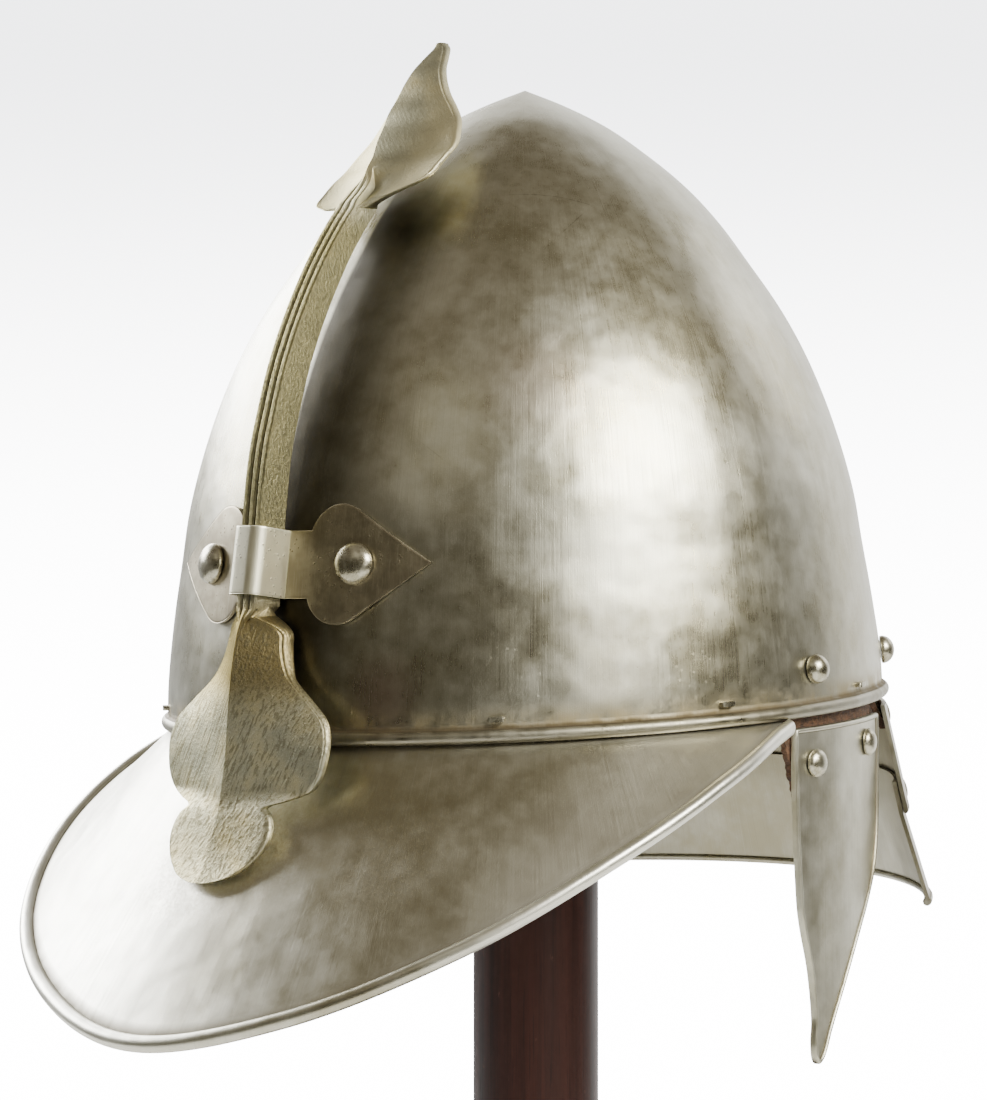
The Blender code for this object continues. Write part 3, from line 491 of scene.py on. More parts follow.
def steel_base(finish, radial=False):
    """Colour, roughness and normal of worn steel, before any dirt."""
    patina = finish.noise(finish.place, 21.0, 4.0, 0.6)
    mottle = finish.noise(finish.place, 160.0, 4.0, 0.65)
    brush = finish.streaks(2600.0, 55.0, 3.0, radial)
    scratch = finish.streaks(5200.0, 16.0, 2.0, radial)
    cloud = (patina * 0.9 + mottle * 0.35 - 0.12).math("MULTIPLY", 1.0, clamp=True)
    colour = finish.mix(cloud.ramp(0.30, 0.72), OLIVE, SILVER)
    colour = finish.mix(brush.ramp(0.45, 0.85) * 0.16, colour, BLACK_LINE)
    colour = finish.mix(scratch.ramp(0.62, 0.80) * 0.25, colour, WORN_STEEL)
    rough = finish.roughness + (patina - 0.5) * 0.20 + (mottle - 0.5) * 0.14 + (brush - 0.5) * 0.16
    waves = finish.noise(finish.place, 38.0, 2.0, 0.45)
    grain = finish.noise(finish.place, 2600.0, 2.0, 0.6)
    normal = finish.bump(waves, 0.0011)
    normal = finish.bump(brush * 0.5 + scratch * 0.5, 0.00004, 0.9, normal)
    normal = finish.bump(grain, 0.00002, 0.8, normal)
    return colour, rough, normal, mottle


def skull_point(angle, height):
    """Place of a mark on the skull's face."""
    return tuple(settle(on_skull(angle, height, 0)))


skull_steel = Finish("skull_steel", 0.31)
colour, rough, normal, mottle = steel_base(skull_steel)
cells = skull_steel.node("ShaderNodeTexVoronoi", {"feature": "DISTANCE_TO_EDGE"},
                         {"Vector": skull_steel.place, "Scale": 19.0, "Randomness": 1.0})
wander = skull_steel.noise(skull_steel.place, 14.0, 3.0)
hairline = (1 - (cells + mottle * 0.014).ramp(0.006, 0.010)) * wander.ramp(0.58, 0.66)
colour = skull_steel.mix(hairline * 0.40, colour, BROWN_DIRT)
pits = skull_steel.node("ShaderNodeTexVoronoi",
                        inputs={"Vector": skull_steel.place, "Scale": 420.0})
pitted = (1 - pits.ramp(0.10, 0.24)) * (skull_steel.noise(skull_steel.place, 30.0, 4.0, 0.7)
                                        - skull_steel.height * 1.6).ramp(0.52, 0.70)
colour = skull_steel.mix(pitted * 0.30, colour, BROWN_DIRT)
rust = skull_steel.spot(skull_point(21.0, 0.012), 0.016, 0.1) * 0.55
rust = rust + skull_steel.spot(skull_point(46.0, 0.098), 0.024, 0.1) * 0.22
colour = skull_steel.mix(rust, colour, RED_TINT)
on_bead = 1 - skull_steel.height.ramp(0.0016, 0.0024)
seam = (1 - skull_steel.height.ramp(0.0030, 0.0105)) * (mottle * 1.3).ramp(0.35, 0.85)
colour = skull_steel.mix(seam * (1 - on_bead * 0.75) * 0.75, colour, YELLOW_DIRT)
colour = skull_steel.mix(on_bead * 0.45, colour, BLACK_LINE)
colour = skull_steel.mix(skull_steel.dirt * 0.85, colour, BROWN_DIRT)
# The strip of skull to the left of the bar is painted nearly black, fixed to the skull: partly dirt
# in the crease beside the bar, partly painted shade for the bar's shadow and a dark reflection.
bar_dirt_and_painted_shade = (1 - skull_steel.x.ramp(0.011, 0.036)) * (skull_steel.x + 0.002).ramp(0.0, 0.002)
bar_dirt_and_painted_shade = bar_dirt_and_painted_shade * skull_steel.height.ramp(0.0, 0.03)
bar_dirt_and_painted_shade = bar_dirt_and_painted_shade * (1 - skull_steel.height.ramp(0.150, 0.170))
bar_dirt_and_painted_shade = bar_dirt_and_painted_shade * (1 - skull_steel.forward.ramp(-0.03, 0.0))
colour = skull_steel.mix(bar_dirt_and_painted_shade * 0.94, colour, BAR_DIRT_AND_SHADE)
rough = rough + seam * 0.18 + pitted * 0.3 + skull_steel.dirt * 0.3 + bar_dirt_and_painted_shade * 0.06
skull_steel.finish(colour, rough, normal)
print("skull steel", len(skull_steel.tree.nodes), "nodes")

# %% [markdown]
# The skull is one sheet raised to a point, and its rim is rolled over a wire. Its outline is spun
# about the axis, as on a lathe, and then leaned. Hammered steel is never perfectly round, so the
# face is pressed in here and there by less than half a millimetre.

# %% Skull
SKULL_ROWS = 150
SKULL_SIDES = 288
DENT_DEPTH = 0.0005


def skull_profile():
    """Closed wall of the skull: outer face down, round the bead, inner face up."""
    shares = [1 - number / SKULL_ROWS for number in range(SKULL_ROWS + 1)]
    outer = [(skull_radius(share * DOME_HEIGHT), share * DOME_HEIGHT) for share in shares
             if share * DOME_HEIGHT > RIM_BEAD_RADIUS * 1.2]
    inner = []
    for share in shares[4::6]:
        height = share * DOME_HEIGHT
        slope = skull_slope(min(height, DOME_HEIGHT * 0.985))
        reach = max(skull_radius(height) - SKULL_WALL * cos(slope), 0.0)
        if height > RIM_BEAD_RADIUS * 1.2:
            inner.append((reach, height - SKULL_WALL * sin(slope)))
    inner.insert(0, (0.0, DOME_HEIGHT - SKULL_WALL / sin(skull_slope(DOME_HEIGHT * 0.99))))
    bead = []
    start, end = radians(78), radians(-222)
    for number in range(25):
        side = start + (end - start) * number / 24
        bead.append((SKULL_RADIUS + RIM_BEAD_RADIUS * cos(side), RIM_BEAD_RADIUS * sin(side)))
    return outer + bead + list(reversed(inner))


bm = turned(skull_profile(), SKULL_SIDES)
layer = bm.verts.layers.float["dirt"]
for vertex in bm.verts:
    low = vertex.co.z
    radius = hypot(vertex.co.x, vertex.co.y)
    outside = radius > skull_radius(low) - SKULL_WALL / 2
    if outside and low > RIM_BEAD_RADIUS * 2:
        press = 0.5 + 0.5 * noise.noise(vertex.co * 26.0)
        fade = min(1.0, (low - RIM_BEAD_RADIUS * 2) / 0.02) * min(1.0, radius / 0.03)
        vertex.co -= vertex.co.normalized() * DENT_DEPTH * max(press, 0.0) * fade
    vertex[layer] = 0.9 if outside and 0.0016 < low < 0.0031 else 0.0
    vertex.co.y -= skull_bow(low)
    vertex.co = settle(vertex.co)
finished("skull_shell", bm, skull_steel.material, ["skull"], FIXED, 60)

# %% [markdown]
# The peak is a wide sloping plate with a rolled edge, held by a flange inside the rim. It is lofted
# through sections that stand at equal angles round the helmet.

# %% Steel of the peak
peak_steel = Finish("peak_steel", 0.36)
colour, rough, normal, mottle = steel_base(peak_steel, radial=True)
grit = peak_steel.noise(peak_steel.place, 900.0, 3.0, 0.7)
scuff = peak_steel.spot((0.060, -0.140, 0.222), 0.045, 0.1) * (grit * 1.2).ramp(0.45, 0.75)
near_nasal = peak_steel.spot((0.0, -0.135, 0.212), 0.042, 0.3) * (grit * 1.2).ramp(0.40, 0.80)
marked = (scuff * 0.35 + near_nasal * 0.55).math("MINIMUM", 0.8)
colour = peak_steel.mix(marked, colour, YELLOW_DIRT)
# The peak's right half and its left end are painted paler: partly barer steel and partly a painted
# reflection of the windows.
right_bare_and_reflection = 1 - peak_steel.x.ramp(-0.035, 0.045)
end_bare_and_reflection = peak_steel.x.ramp(0.080, 0.105)
colour = peak_steel.mix((right_bare_and_reflection + end_bare_and_reflection) * 0.85, colour, BARE_STEEL_AND_REFLECTION)
edge_dirt = peak_steel.dirt * (0.55 + mottle * 0.6)
colour = peak_steel.mix(edge_dirt * 0.9, colour, BROWN_DIRT)
rough = rough + peak_steel.dirt * 0.25 + scuff * 0.12 + near_nasal * 0.14
peak_steel.finish(colour, rough, normal)
print("peak steel", len(peak_steel.tree.nodes), "nodes")

# %% Peak
PEAK_STEPS = 200
PEAK_TRIM = 0.00034
SHEET_ROWS = 16
EDGE_ROWS = 26


def peak_edge_centre(angle):
    """Centre of the peak's rolled edge at an angle, as (radius, height)."""
    reach, drop = table_row(PEAK_EDGE, abs(angle) / PEAK_HALF_ANGLE)
    outside, down = PEAK_REACH * reach, PEAK_DROP * drop
    length = hypot(outside, down)
    inset = PEAK_BEAD_RADIUS * min(1.0, length / (12 * PEAK_BEAD_RADIUS)) + PEAK_TRIM
    return (SKULL_RADIUS + outside - inset * outside / length, -down + inset * down / length)


def peak_section(angle):
    """Closed section of the peak at an angle and its dirt: flange, sheet and rolled edge."""
    edge_radius, edge_height = peak_edge_centre(angle)
    across, down = edge_radius - SKULL_RADIUS, -edge_height
    clear = RIM_BEAD_RADIUS + GAP + 0.00005
    middle = clear + PEAK_SHEET / 2
    slant = atan2(down, across) - asin(middle / hypot(across, down))
    along = Vector((cos(slant), -sin(slant)))
    normal = Vector((sin(slant), cos(slant)))
    axis = Vector((SKULL_RADIUS, 0))
    bead_centre = Vector((edge_radius, edge_height)) + normal * PEAK_BEAD_RISE
    throat_top = axis - normal * clear
    throat_under = axis - normal * (clear + PEAK_SHEET)
    flange = SKULL_RADIUS - RIM_BEAD_RADIUS - GAP - 0.00005
    run = (Vector((edge_radius, edge_height)) - axis + normal * middle).length - PEAK_BEAD_RADIUS
    start = pi - asin((PEAK_SHEET / 2 - PEAK_BEAD_RISE) / PEAK_BEAD_RADIUS)
    end = -pi - asin((-PEAK_SHEET / 2 - PEAK_BEAD_RISE) / PEAK_BEAD_RADIUS)
    points = [(flange, PEAK_FLANGE_HEIGHT), (flange, -0.0004), throat_top]
    weights = [0.0, 0.0, 0.9]
    for number in range(1, SHEET_ROWS):
        share = number / SHEET_ROWS
        share = share + 0.35 * share * (1 - share)
        points.append(throat_top + along * run * share)
        left = run * (1 - share)
        weights.append(max(0.0, 1 - left / 0.0035) * 0.8 if left < 0.0035 else
                       max(0.0, 0.6 - share * run / 0.006))
    for number in range(EDGE_ROWS):
        side = start + (end - start) * number / (EDGE_ROWS - 1)
        points.append(bead_centre + (along * cos(side) + normal * sin(side)) * PEAK_BEAD_RADIUS)
        weights.append(1.0 if number == 0 else 0.6 if number < 3 else 0.0)
    for number in range(SHEET_ROWS // 2, -1, -1):
        points.append(throat_under + along * run * number / (SHEET_ROWS // 2 + 1))
        weights.append(0.15)
    points += [(flange - PEAK_SHEET, -0.0004), (flange - PEAK_SHEET, PEAK_FLANGE_HEIGHT)]
    weights += [0.2, 0.2]
    return [settle(round_axis(angle, point[0], point[1])) for point in points], weights


angles = [PEAK_HALF_ANGLE * (2 * step / PEAK_STEPS - 1) for step in range(PEAK_STEPS + 1)]
made = [peak_section(angle) for angle in angles]
bm = lofted([section for section, weights in made], [weights for section, weights in made])
finished("peak_plate", bm, peak_steel.material, ["peak"], FIXED, 50)

# %% [markdown]
# The nasal is one casting: a ribbed bar, a folded leaf on top and a keeled finial below. Its
# sections are worked out as half a cross-section, then mirrored. The bar's two grooves hold dirt.

# %% Sizes of the nasal
BAR_FRONT_WIDTH = 0.0079
BAR_BACK_WIDTH = 0.0082
BAR_DEPTH = 0.0100
BAR_STANDOFF = 0.0017
GROOVE_DEPTH = 0.0006
BAR_FOOT_HEIGHT = 0.0365
BAR_TOP_HEIGHT = 0.1495
LEAF_RISE = 0.0519
LEAF_LEAN = 0.0400
LEAF_HALF_WIDTH = 0.0239
LEAF_SWEEP = 0.0125
LEAF_THICKNESS = 0.0030
LEAF_DISH = 0.0026
LEAF_SKEW = 0.120
FINIAL_DROP = 0.0750
FINIAL_HALF_WIDTH = 0.0337
FINIAL_SWEEP = 0.0095
FINIAL_THICKNESS = 0.0026
FINIAL_CLEARANCE = 0.0012
BRACKET_HEIGHT = 0.0480

# Bar's front face: height and depth behind the face at the bracket, as shares of DOME_HEIGHT and
# SKULL_RADIUS
BAR_FRONT = (
    (0.160, -0.015), (0.200, -0.008), (0.252, 0.000), (0.300, 0.008), (0.341, 0.016),
    (0.390, 0.027), (0.436, 0.043), (0.483, 0.067), (0.532, 0.094), (0.581, 0.129),
    (0.630, 0.171), (0.673, 0.213), (0.717, 0.262), (0.785, 0.355), (0.832, 0.440),
)
# Leaf: share of LEAF_RISE, then of LEAF_LEAN, LEAF_HALF_WIDTH and LEAF_SWEEP, share of the bar's
# ribbed form that is left, and depth of the middle as a share of BAR_DEPTH
LEAF_ROWS = (
    (0.040, 0.035, 0.600, 0.30, 1.0, 1.00), (0.100, 0.120, 0.950, 0.41, 1.0, 0.90),
    (0.175, 0.200, 1.000, 0.52, 0.4, 0.60), (0.240, 0.245, 1.000, 0.68, 0.0, 0.36),
    (0.300, 0.300, 0.975, 0.82, 0.0, 0.24), (0.390, 0.350, 0.883, 0.96, 0.0, 0.22),
    (0.480, 0.420, 0.757, 1.00, 0.0, 0.22), (0.560, 0.475, 0.630, 0.93, 0.0, 0.22),
    (0.640, 0.560, 0.500, 0.72, 0.0, 0.22), (0.730, 0.640, 0.385, 0.56, 0.0, 0.22),
    (0.820, 0.740, 0.280, 0.42, 0.0, 0.22), (0.900, 0.860, 0.190, 0.30, 0.0, 0.21),
    (0.970, 0.970, 0.110, 0.14, 0.0, 0.19), (1.000, 1.000, 0.050, 0.04, 0.0, 0.17),
)
# Finial: share of FINIAL_DROP, then of its reach, FINIAL_HALF_WIDTH and FINIAL_SWEEP, and depth of
# the middle as a share of BAR_DEPTH
FINIAL_ROWS = (
    (0.030, 0.070, 0.126, 0.15, 0.90), (0.065, 0.130, 0.270, 0.58, 1.00),
    (0.095, 0.175, 0.335, 0.83, 1.10), (0.140, 0.215, 0.355, 0.86, 1.12),
    (0.200, 0.262, 0.400, 0.88, 1.08), (0.260, 0.300, 0.490, 0.88, 0.95),
    (0.340, 0.338, 0.720, 0.90, 0.40), (0.410, 0.363, 0.910, 0.90, 0.34),
    (0.480, 0.385, 0.975, 0.84, 0.32), (0.560, 0.420, 0.965, 0.80, 0.31),
    (0.635, 0.470, 0.905, 0.80, 0.30), (0.675, 0.495, 0.815, 0.74, 0.30),
    (0.706, 0.515, 0.620, 0.46, 0.30), (0.722, 0.530, 0.480, 0.28, 0.30),
    (0.755, 0.572, 0.550, 0.26, 0.30), (0.815, 0.645, 0.605, 0.24, 0.30),
    (0.885, 0.740, 0.565, 0.19, 0.30), (0.950, 0.860, 0.430, 0.13, 0.29),
    (0.985, 0.955, 0.275, 0.07, 0.28), (1.000, 1.000, 0.120, 0.03, 0.27),
)
print("nasal", round(LEAF_RISE + FINIAL_DROP + BAR_TOP_HEIGHT - BAR_FOOT_HEIGHT, 4), "tall")

# %% Sections of the nasal
FACE_POINTS = 12
WING_POINTS = 14
EDGE_POINTS = 8
BACK_POINTS = 10
CORE_POINTS = 4
SIDE_POINTS = WING_POINTS + EDGE_POINTS + BACK_POINTS


def bar_front(height):
    """Distance from the axis to the bar's front face."""
    base = skull_radius(BRACKET_HEIGHT) + skull_bow(BRACKET_HEIGHT) + BAR_STANDOFF + BAR_DEPTH
    return base - SKULL_RADIUS * table_row(BAR_FRONT, height / DOME_HEIGHT)[0]


def finial_reach():
    """How far the finial's tip lies in front of the bar's foot."""
    edge_radius, edge_height = peak_edge_centre(0)
    share = (BAR_FOOT_HEIGHT - FINIAL_DROP) / edge_height
    face = SKULL_RADIUS + (edge_radius - SKULL_RADIUS) * share
    return face + FINIAL_CLEARANCE + FINIAL_THICKNESS - bar_front(BAR_FOOT_HEIGHT)


def groove(share):
    """Depth of the ribbed front at a share of its half width, and how dirty it is there."""
    cut = max(0.0, 1 - abs(share - 0.36) / 0.15)
    cut = cut * cut * (3 - 2 * cut)
    edge = max(0.0, (share - 0.86) / 0.14)
    return GROOVE_DEPTH * (cut + 0.6 * edge * edge), cut


def bar_half(height):
    """Right half of the bar's section from front middle to back middle: (x, back, dirt)."""
    half, back_half = BAR_FRONT_WIDTH / 2, BAR_BACK_WIDTH / 2
    points = []
    for number in range(FACE_POINTS):
        share = number / (FACE_POINTS - 1)
        depth, dirt = groove(share)
        points.append((half * share, depth, dirt))
    edge = points[-1][1]
    for number in range(1, SIDE_POINTS + 1):
        share = number / SIDE_POINTS
        points.append((half + (back_half - half) * share, edge + (BAR_DEPTH - edge) * share, 0.0))
    for number in range(1, CORE_POINTS + 1):
        points.append((back_half * (1 - number / CORE_POINTS), BAR_DEPTH, 0.0))
    return [(x, depth, height, dirt) for x, depth, dirt in points]


def wing_half(height, half_width, sweep, dish, thickness, bar_left, core):
    """Right half of a winged section from front middle to back middle."""
    def wing(x):
        share = x / half_width
        return sweep * share + dish * 4 * share * (1 - share)

    inner = min(BAR_FRONT_WIDTH / 2 * (0.35 + 0.65 * bar_left), half_width * 0.93)
    points = []
    for number in range(FACE_POINTS):
        share = number / (FACE_POINTS - 1)
        depth, dirt = groove(share)
        points.append((inner * share, bar_left * depth + (1 - bar_left) * wing(inner * share),
                       dirt * bar_left))
    root = inner * 1.03
    fillet = min(thickness, LEAF_THICKNESS) * 0.36
    reach = half_width - fillet
    for number in range(WING_POINTS):
        share = number / (WING_POINTS - 1)
        x = root + (reach - root) * share
        step = bar_left * thickness * 0.5 * max(0.0, 1 - share * 4)
        points.append((x, wing(x) + step, 0.8 * bar_left * max(0.0, 1 - share * 6)))
    for number in range(EDGE_POINTS):
        side = radians(-80 + 160 * number / (EDGE_POINTS - 1))
        centre = wing(half_width) + (fillet if number < EDGE_POINTS / 2 else thickness - fillet)
        points.append((reach + fillet * cos(side), centre + fillet * sin(side), 0.0))
    depth = max(core * BAR_DEPTH, wing(inner * 0.6) + thickness * 1.02)
    for number in range(BACK_POINTS):
        share = 1 - (number + 1) / BACK_POINTS
        x = root + (reach - root) * share
        low = wing(x) + thickness
        if number == BACK_POINTS - 1:
            low = max(low, min(depth, low + thickness * 0.3))
        points.append((x, low, 0.0))
    for number in range(1, CORE_POINTS + 1):
        share = number / CORE_POINTS
        points.append((root * (1 - share), max(depth, wing(root * (1 - share)) + thickness), 0.0))
    return [(x, back_depth, height, dirt) for x, back_depth, dirt in points]


def finial_thickness(sweep, core):
    """Thickness of the finial's wings, which is more at the neck where the bar runs out."""
    return max(FINIAL_THICKNESS, core * BAR_DEPTH * 1.15 - sweep)


def whole_section(front, half_section, skew=0.0):
    """Whole closed section and its dirt, at a distance in front of the axis."""
    right_side = [(x, -(front - depth), height + skew * x)
                  for x, depth, height, dirt in half_section]
    left_side = [(-x, y, height - 2 * skew * x) for x, y, height in reversed(right_side[1:-1])]
    dirt = [point[3] for point in half_section]
    return ([settle(point) for point in right_side + left_side],
            dirt + list(reversed(dirt[1:-1])))


print("half section", len(bar_half(0.05)), "points")

# %% Nasal
FINIAL_STEPS = 96
BAR_STEPS = 110
LEAF_STEPS = 84
BAR_FADE = 0.05


def steps_between(start, end, count):
    """Evenly spaced numbers from start to end."""
    return [start + (end - start) * number / count for number in range(count + 1)]


made = []
foot = bar_front(BAR_FOOT_HEIGHT)
for share in steps_between(1.0, FINIAL_ROWS[0][0], FINIAL_STEPS):
    reach, width, sweep, core = table_row(FINIAL_ROWS, share)
    bar_left = max(0.0, 1 - share / BAR_FADE)
    half = wing_half(BAR_FOOT_HEIGHT - FINIAL_DROP * share, FINIAL_HALF_WIDTH * width,
                     FINIAL_SWEEP * sweep, 0.0, finial_thickness(FINIAL_SWEEP * sweep, core),
                     bar_left, core)
    made.append(whole_section(foot + finial_reach() * reach, half))
for height in steps_between(BAR_FOOT_HEIGHT, BAR_TOP_HEIGHT, BAR_STEPS):
    made.append(whole_section(bar_front(height), bar_half(height)))
top = bar_front(BAR_TOP_HEIGHT)
for share in steps_between(LEAF_ROWS[0][0], 1.0, LEAF_STEPS):
    lean, width, sweep, bar_left, core = table_row(LEAF_ROWS, share)
    bar_left = min(max(bar_left, 0.0), 1.0)
    half = wing_half(BAR_TOP_HEIGHT + LEAF_RISE * share, LEAF_HALF_WIDTH * width,
                     LEAF_SWEEP * sweep, LEAF_DISH * width, LEAF_THICKNESS, bar_left, core)
    made.append(whole_section(top - LEAF_LEAN * lean, half, LEAF_SKEW))
nasal_bm = lofted([section for section, dirt in made], [dirt for section, dirt in made])
print("nasal sections", len(made))

# %% [markdown]
# The nasal's metal is paler and yellower than the steel and has the skin of a casting: fine pits,
# and slanting lines where it was filed. The filed lines are a noise stretched along a turned axis.

# %% Cast metal
CAST_PALE = (0.60, 0.56, 0.385, 1)
CAST_GREY = (0.43, 0.42, 0.32, 1)
GOLDEN = (0.46, 0.375, 0.17, 1)
BAR_BROWN = (0.215, 0.190, 0.085, 1)
# Painted shade for the nasal's neck under the bracket's loop.
NECK_SHADE_BROWN = (0.17, 0.125, 0.050, 1)
# Painted highlight for the leaf's left wing.
LEAF_HIGHLIGHT = (0.74, 0.67, 0.44, 1)
# Painted shade for the leaf's right half.
LOBE_SHADE_GREY = (0.40, 0.37, 0.27, 1)
LINE_BROWN = (0.15, 0.135, 0.085, 1)
GROOVE_DIRT = (0.035, 0.030, 0.020, 1)

cast_metal = Finish("cast_metal", 0.44)
cast_metal.shader.inputs["Specular Tint"].default_value = (0.62, 0.575, 0.42, 1)
tone = cast_metal.noise(cast_metal.place, 70.0, 4.0, 0.6)
skin = cast_metal.noise(cast_metal.place, 1100.0, 4.0, 0.7)


def filed_lines(turn_y, turn_z):
    """Fine parallel lines: a noise with one long axis, turned to the way of the file."""
    turned_place = cast_metal.node("ShaderNodeMapping", {"vector_type": "TEXTURE"}, {
        "Vector": cast_metal.place, "Rotation": (0.0, radians(turn_y), radians(turn_z)),
        "Scale": (1 / 1250, 1 / 1250, 1 / 95)})
    return cast_metal.noise(turned_place, 1.0, 3.0, 0.6)


filed = filed_lines(24, 0)
crossed = filed_lines(-28, 30)
upper_half = cast_metal.height.ramp(0.030, 0.050)
on_leaf = cast_metal.height.ramp(0.150, 0.162)
lines = filed * (1 - upper_half) + crossed * upper_half * (1 - on_leaf * 0.35)
neck = cast_metal.height.ramp(0.004, 0.024) * (1 - cast_metal.height.ramp(0.034, 0.044))
low_tip = 1 - cast_metal.height.ramp(-0.030, -0.008)
colour = cast_metal.mix(tone.ramp(0.35, 0.68), CAST_GREY, CAST_PALE)
colour = cast_metal.mix((tone.ramp(0.52, 0.68) * 0.3 + neck * 0.75 + low_tip * 0.25)
                        .math("MINIMUM", 0.85), colour, GOLDEN)
on_bar = cast_metal.height.ramp(0.040, 0.052) * (1 - cast_metal.height.ramp(0.146, 0.156))
colour = cast_metal.mix(on_bar * 0.80, colour, BAR_BROWN)
# The neck under the bracket's loop is painted darker brown: painted shade below the loop.
shade_below_loop = cast_metal.height.ramp(0.010, 0.020) * (1 - cast_metal.height.ramp(0.034, 0.044))
colour = cast_metal.mix(shade_below_loop * 0.60, colour, NECK_SHADE_BROWN)
# The leaf's left wing is painted paler outwards: a painted highlight on the side facing the window.
leaf_wing_highlight = on_leaf * cast_metal.x.ramp(0.004, 0.016)
colour = cast_metal.mix(leaf_wing_highlight * 0.60, colour, LEAF_HIGHLIGHT)
# The leaf's right half is painted darker grey: painted shade on that side of the leaf.
right_lobe_shade = on_leaf * (1 - cast_metal.x.ramp(-0.004, 0.0))
colour = cast_metal.mix(right_lobe_shade * 0.70, colour, LOBE_SHADE_GREY)
colour = cast_metal.mix(lines.ramp(0.48, 0.60) * 0.60, colour, LINE_BROWN)
colour = cast_metal.mix(skin.ramp(0.56, 0.72) * (0.25 + low_tip * 0.35 + neck * 0.25), colour,
                        BROWN_DIRT)
colour = cast_metal.mix(cast_metal.dirt * 0.92, colour, GROOVE_DIRT)
rough = cast_metal.roughness + on_leaf * 0.07 + (tone - 0.5) * 0.12 + (skin - 0.5) * 0.16
rough = rough + (lines - 0.5) * 0.2 + cast_metal.dirt * 0.3
normal = cast_metal.bump(skin * (1 - on_leaf * 0.7), 0.00022, 0.8)
normal = cast_metal.bump(lines, 0.00022, 0.9, normal)
cast_metal.finish(colour, rough, normal)
finished("nasal_casting", nasal_bm, cast_metal.material, ["nasal"], SLIDING, 34)

# %% [markdown]
# The bracket is one strip with a heart at each end, bent into a loop over the nasal. It is drawn
# flat with its true outline, cut into fine cells so that it can bend, and then wrapped: the hearts
# lie on the skull and the loop's corners turn in small arcs.

# %% Bracket sizes and flat plates
STRAP_HEIGHT = 0.0190
STRAP_THICKNESS = 0.0011
LOOP_SIDE_PLAY = 0.0006
LOOP_FRONT_PLAY = 0.0017
HEART_TIP = 0.0527
HEART_LOBE_PLACE = 0.0240
HEART_LOBE_OFFSET = 0.0063
HEART_LOBE_RADIUS = 0.0105
BRACKET_RIVET_PLACE = 0.0295
BRACKET_RIVET_RADIUS = 0.0062
BRACKET_RIVET_HEIGHT = 0.0040
FRONT_FOLD = 0.0027
FOOT_FOLD = 0.0007


def plate(outline, cell, thickness, edge=None, cuts=()):
    """Flat plate with a rounded or raised edge, cut into cells so that it can be bent."""
    bm = bmesh.new()
    layer = bm.verts.layers.float.new("dirt")
    face = bm.faces.new([bm.verts.new((x, y, thickness)) for x, y in outline])
    face.normal_update()
    for width, rise, dirt in edge or ():
        outer = set(bm.verts)
        bmesh.ops.inset_individual(bm, faces=[face], thickness=width, depth=0,
                                   use_even_offset=True)
        for vertex in set(bm.verts) - outer:
            vertex.co.z = thickness + rise
            vertex[layer] = dirt
    planes = [(0, x) for x in cuts]
    for axis in (0, 1):
        low = min(point[axis] for point in outline)
        high = max(point[axis] for point in outline)
        count = int((high - low) / cell)
        planes += [(axis, low + (high - low) * number / (count + 1))
                   for number in range(1, count + 1)]
    for axis, level in planes:
        cut, direction = [0, 0, 0], [0, 0, 0]
        cut[axis], direction[axis] = level, 1
        geom = bm.verts[:] + bm.edges[:] + bm.faces[:]
        bmesh.ops.bisect_plane(bm, geom=geom, dist=1e-6, plane_co=cut, plane_no=direction)
    body = bmesh.ops.extrude_face_region(bm, geom=bm.faces[:])
    for item in body["geom"]:
        if isinstance(item, bmesh.types.BMVert):
            item.co.z = 0
    return bm


def bend(bm, mapping):
    """Move every vertex by mapping(x, y, z)."""
    for vertex in bm.verts:
        vertex.co = mapping(*vertex.co)


print("loop half width", BAR_BACK_WIDTH / 2 + LOOP_SIDE_PLAY)

# %% Bracket
LOOP_HALF = max(BAR_FRONT_WIDTH, BAR_BACK_WIDTH) / 2 + LOOP_SIDE_PLAY
LOOP_RISE = BAR_STANDOFF + BAR_DEPTH + LOOP_FRONT_PLAY - GAP
CORNER = LOOP_HALF + LOOP_RISE


def heart_outline():
    """Right half of the flat outline, upper side, as (along, up) from the strap."""
    lobe = Vector((HEART_LOBE_PLACE, HEART_LOBE_OFFSET))
    start = pi - asin((STRAP_HEIGHT / 2 - HEART_LOBE_OFFSET) / HEART_LOBE_RADIUS)
    tip = Vector((HEART_TIP, 0)) - lobe
    end = atan2(tip.y, tip.x) + pi / 2 - asin(HEART_LOBE_RADIUS / tip.length)
    points = []
    for side in steps_between(start, end, 22):
        points.append(lobe + Vector((cos(side), sin(side))) * HEART_LOBE_RADIUS)
    return [(point.x + LOOP_RISE, point.y) for point in points]


def loop_place(distance):
    """Place of the strip's inner face across and above the skull, and which way it looks."""
    r = FRONT_FOLD
    if distance < LOOP_HALF - r:
        return distance, LOOP_RISE, 0.0, 1.0
    if distance < LOOP_HALF + r:
        side = (distance - LOOP_HALF + r) / (2 * r) * pi / 2
        return LOOP_HALF - r + r * sin(side), LOOP_RISE - r + r * cos(side), sin(side), cos(side)
    r = FOOT_FOLD
    if distance < CORNER - r:
        return LOOP_HALF, LOOP_RISE + LOOP_HALF - distance, 1.0, 0.0
    if distance < CORNER + r:
        side = (distance - CORNER + r) / (2 * r) * pi / 2
        return (LOOP_HALF + (r + STRAP_THICKNESS) * (1 - cos(side)), r * (1 - sin(side)),
                cos(side), sin(side))
    return LOOP_HALF + distance - CORNER + STRAP_THICKNESS, 0.0, 0.0, 1.0


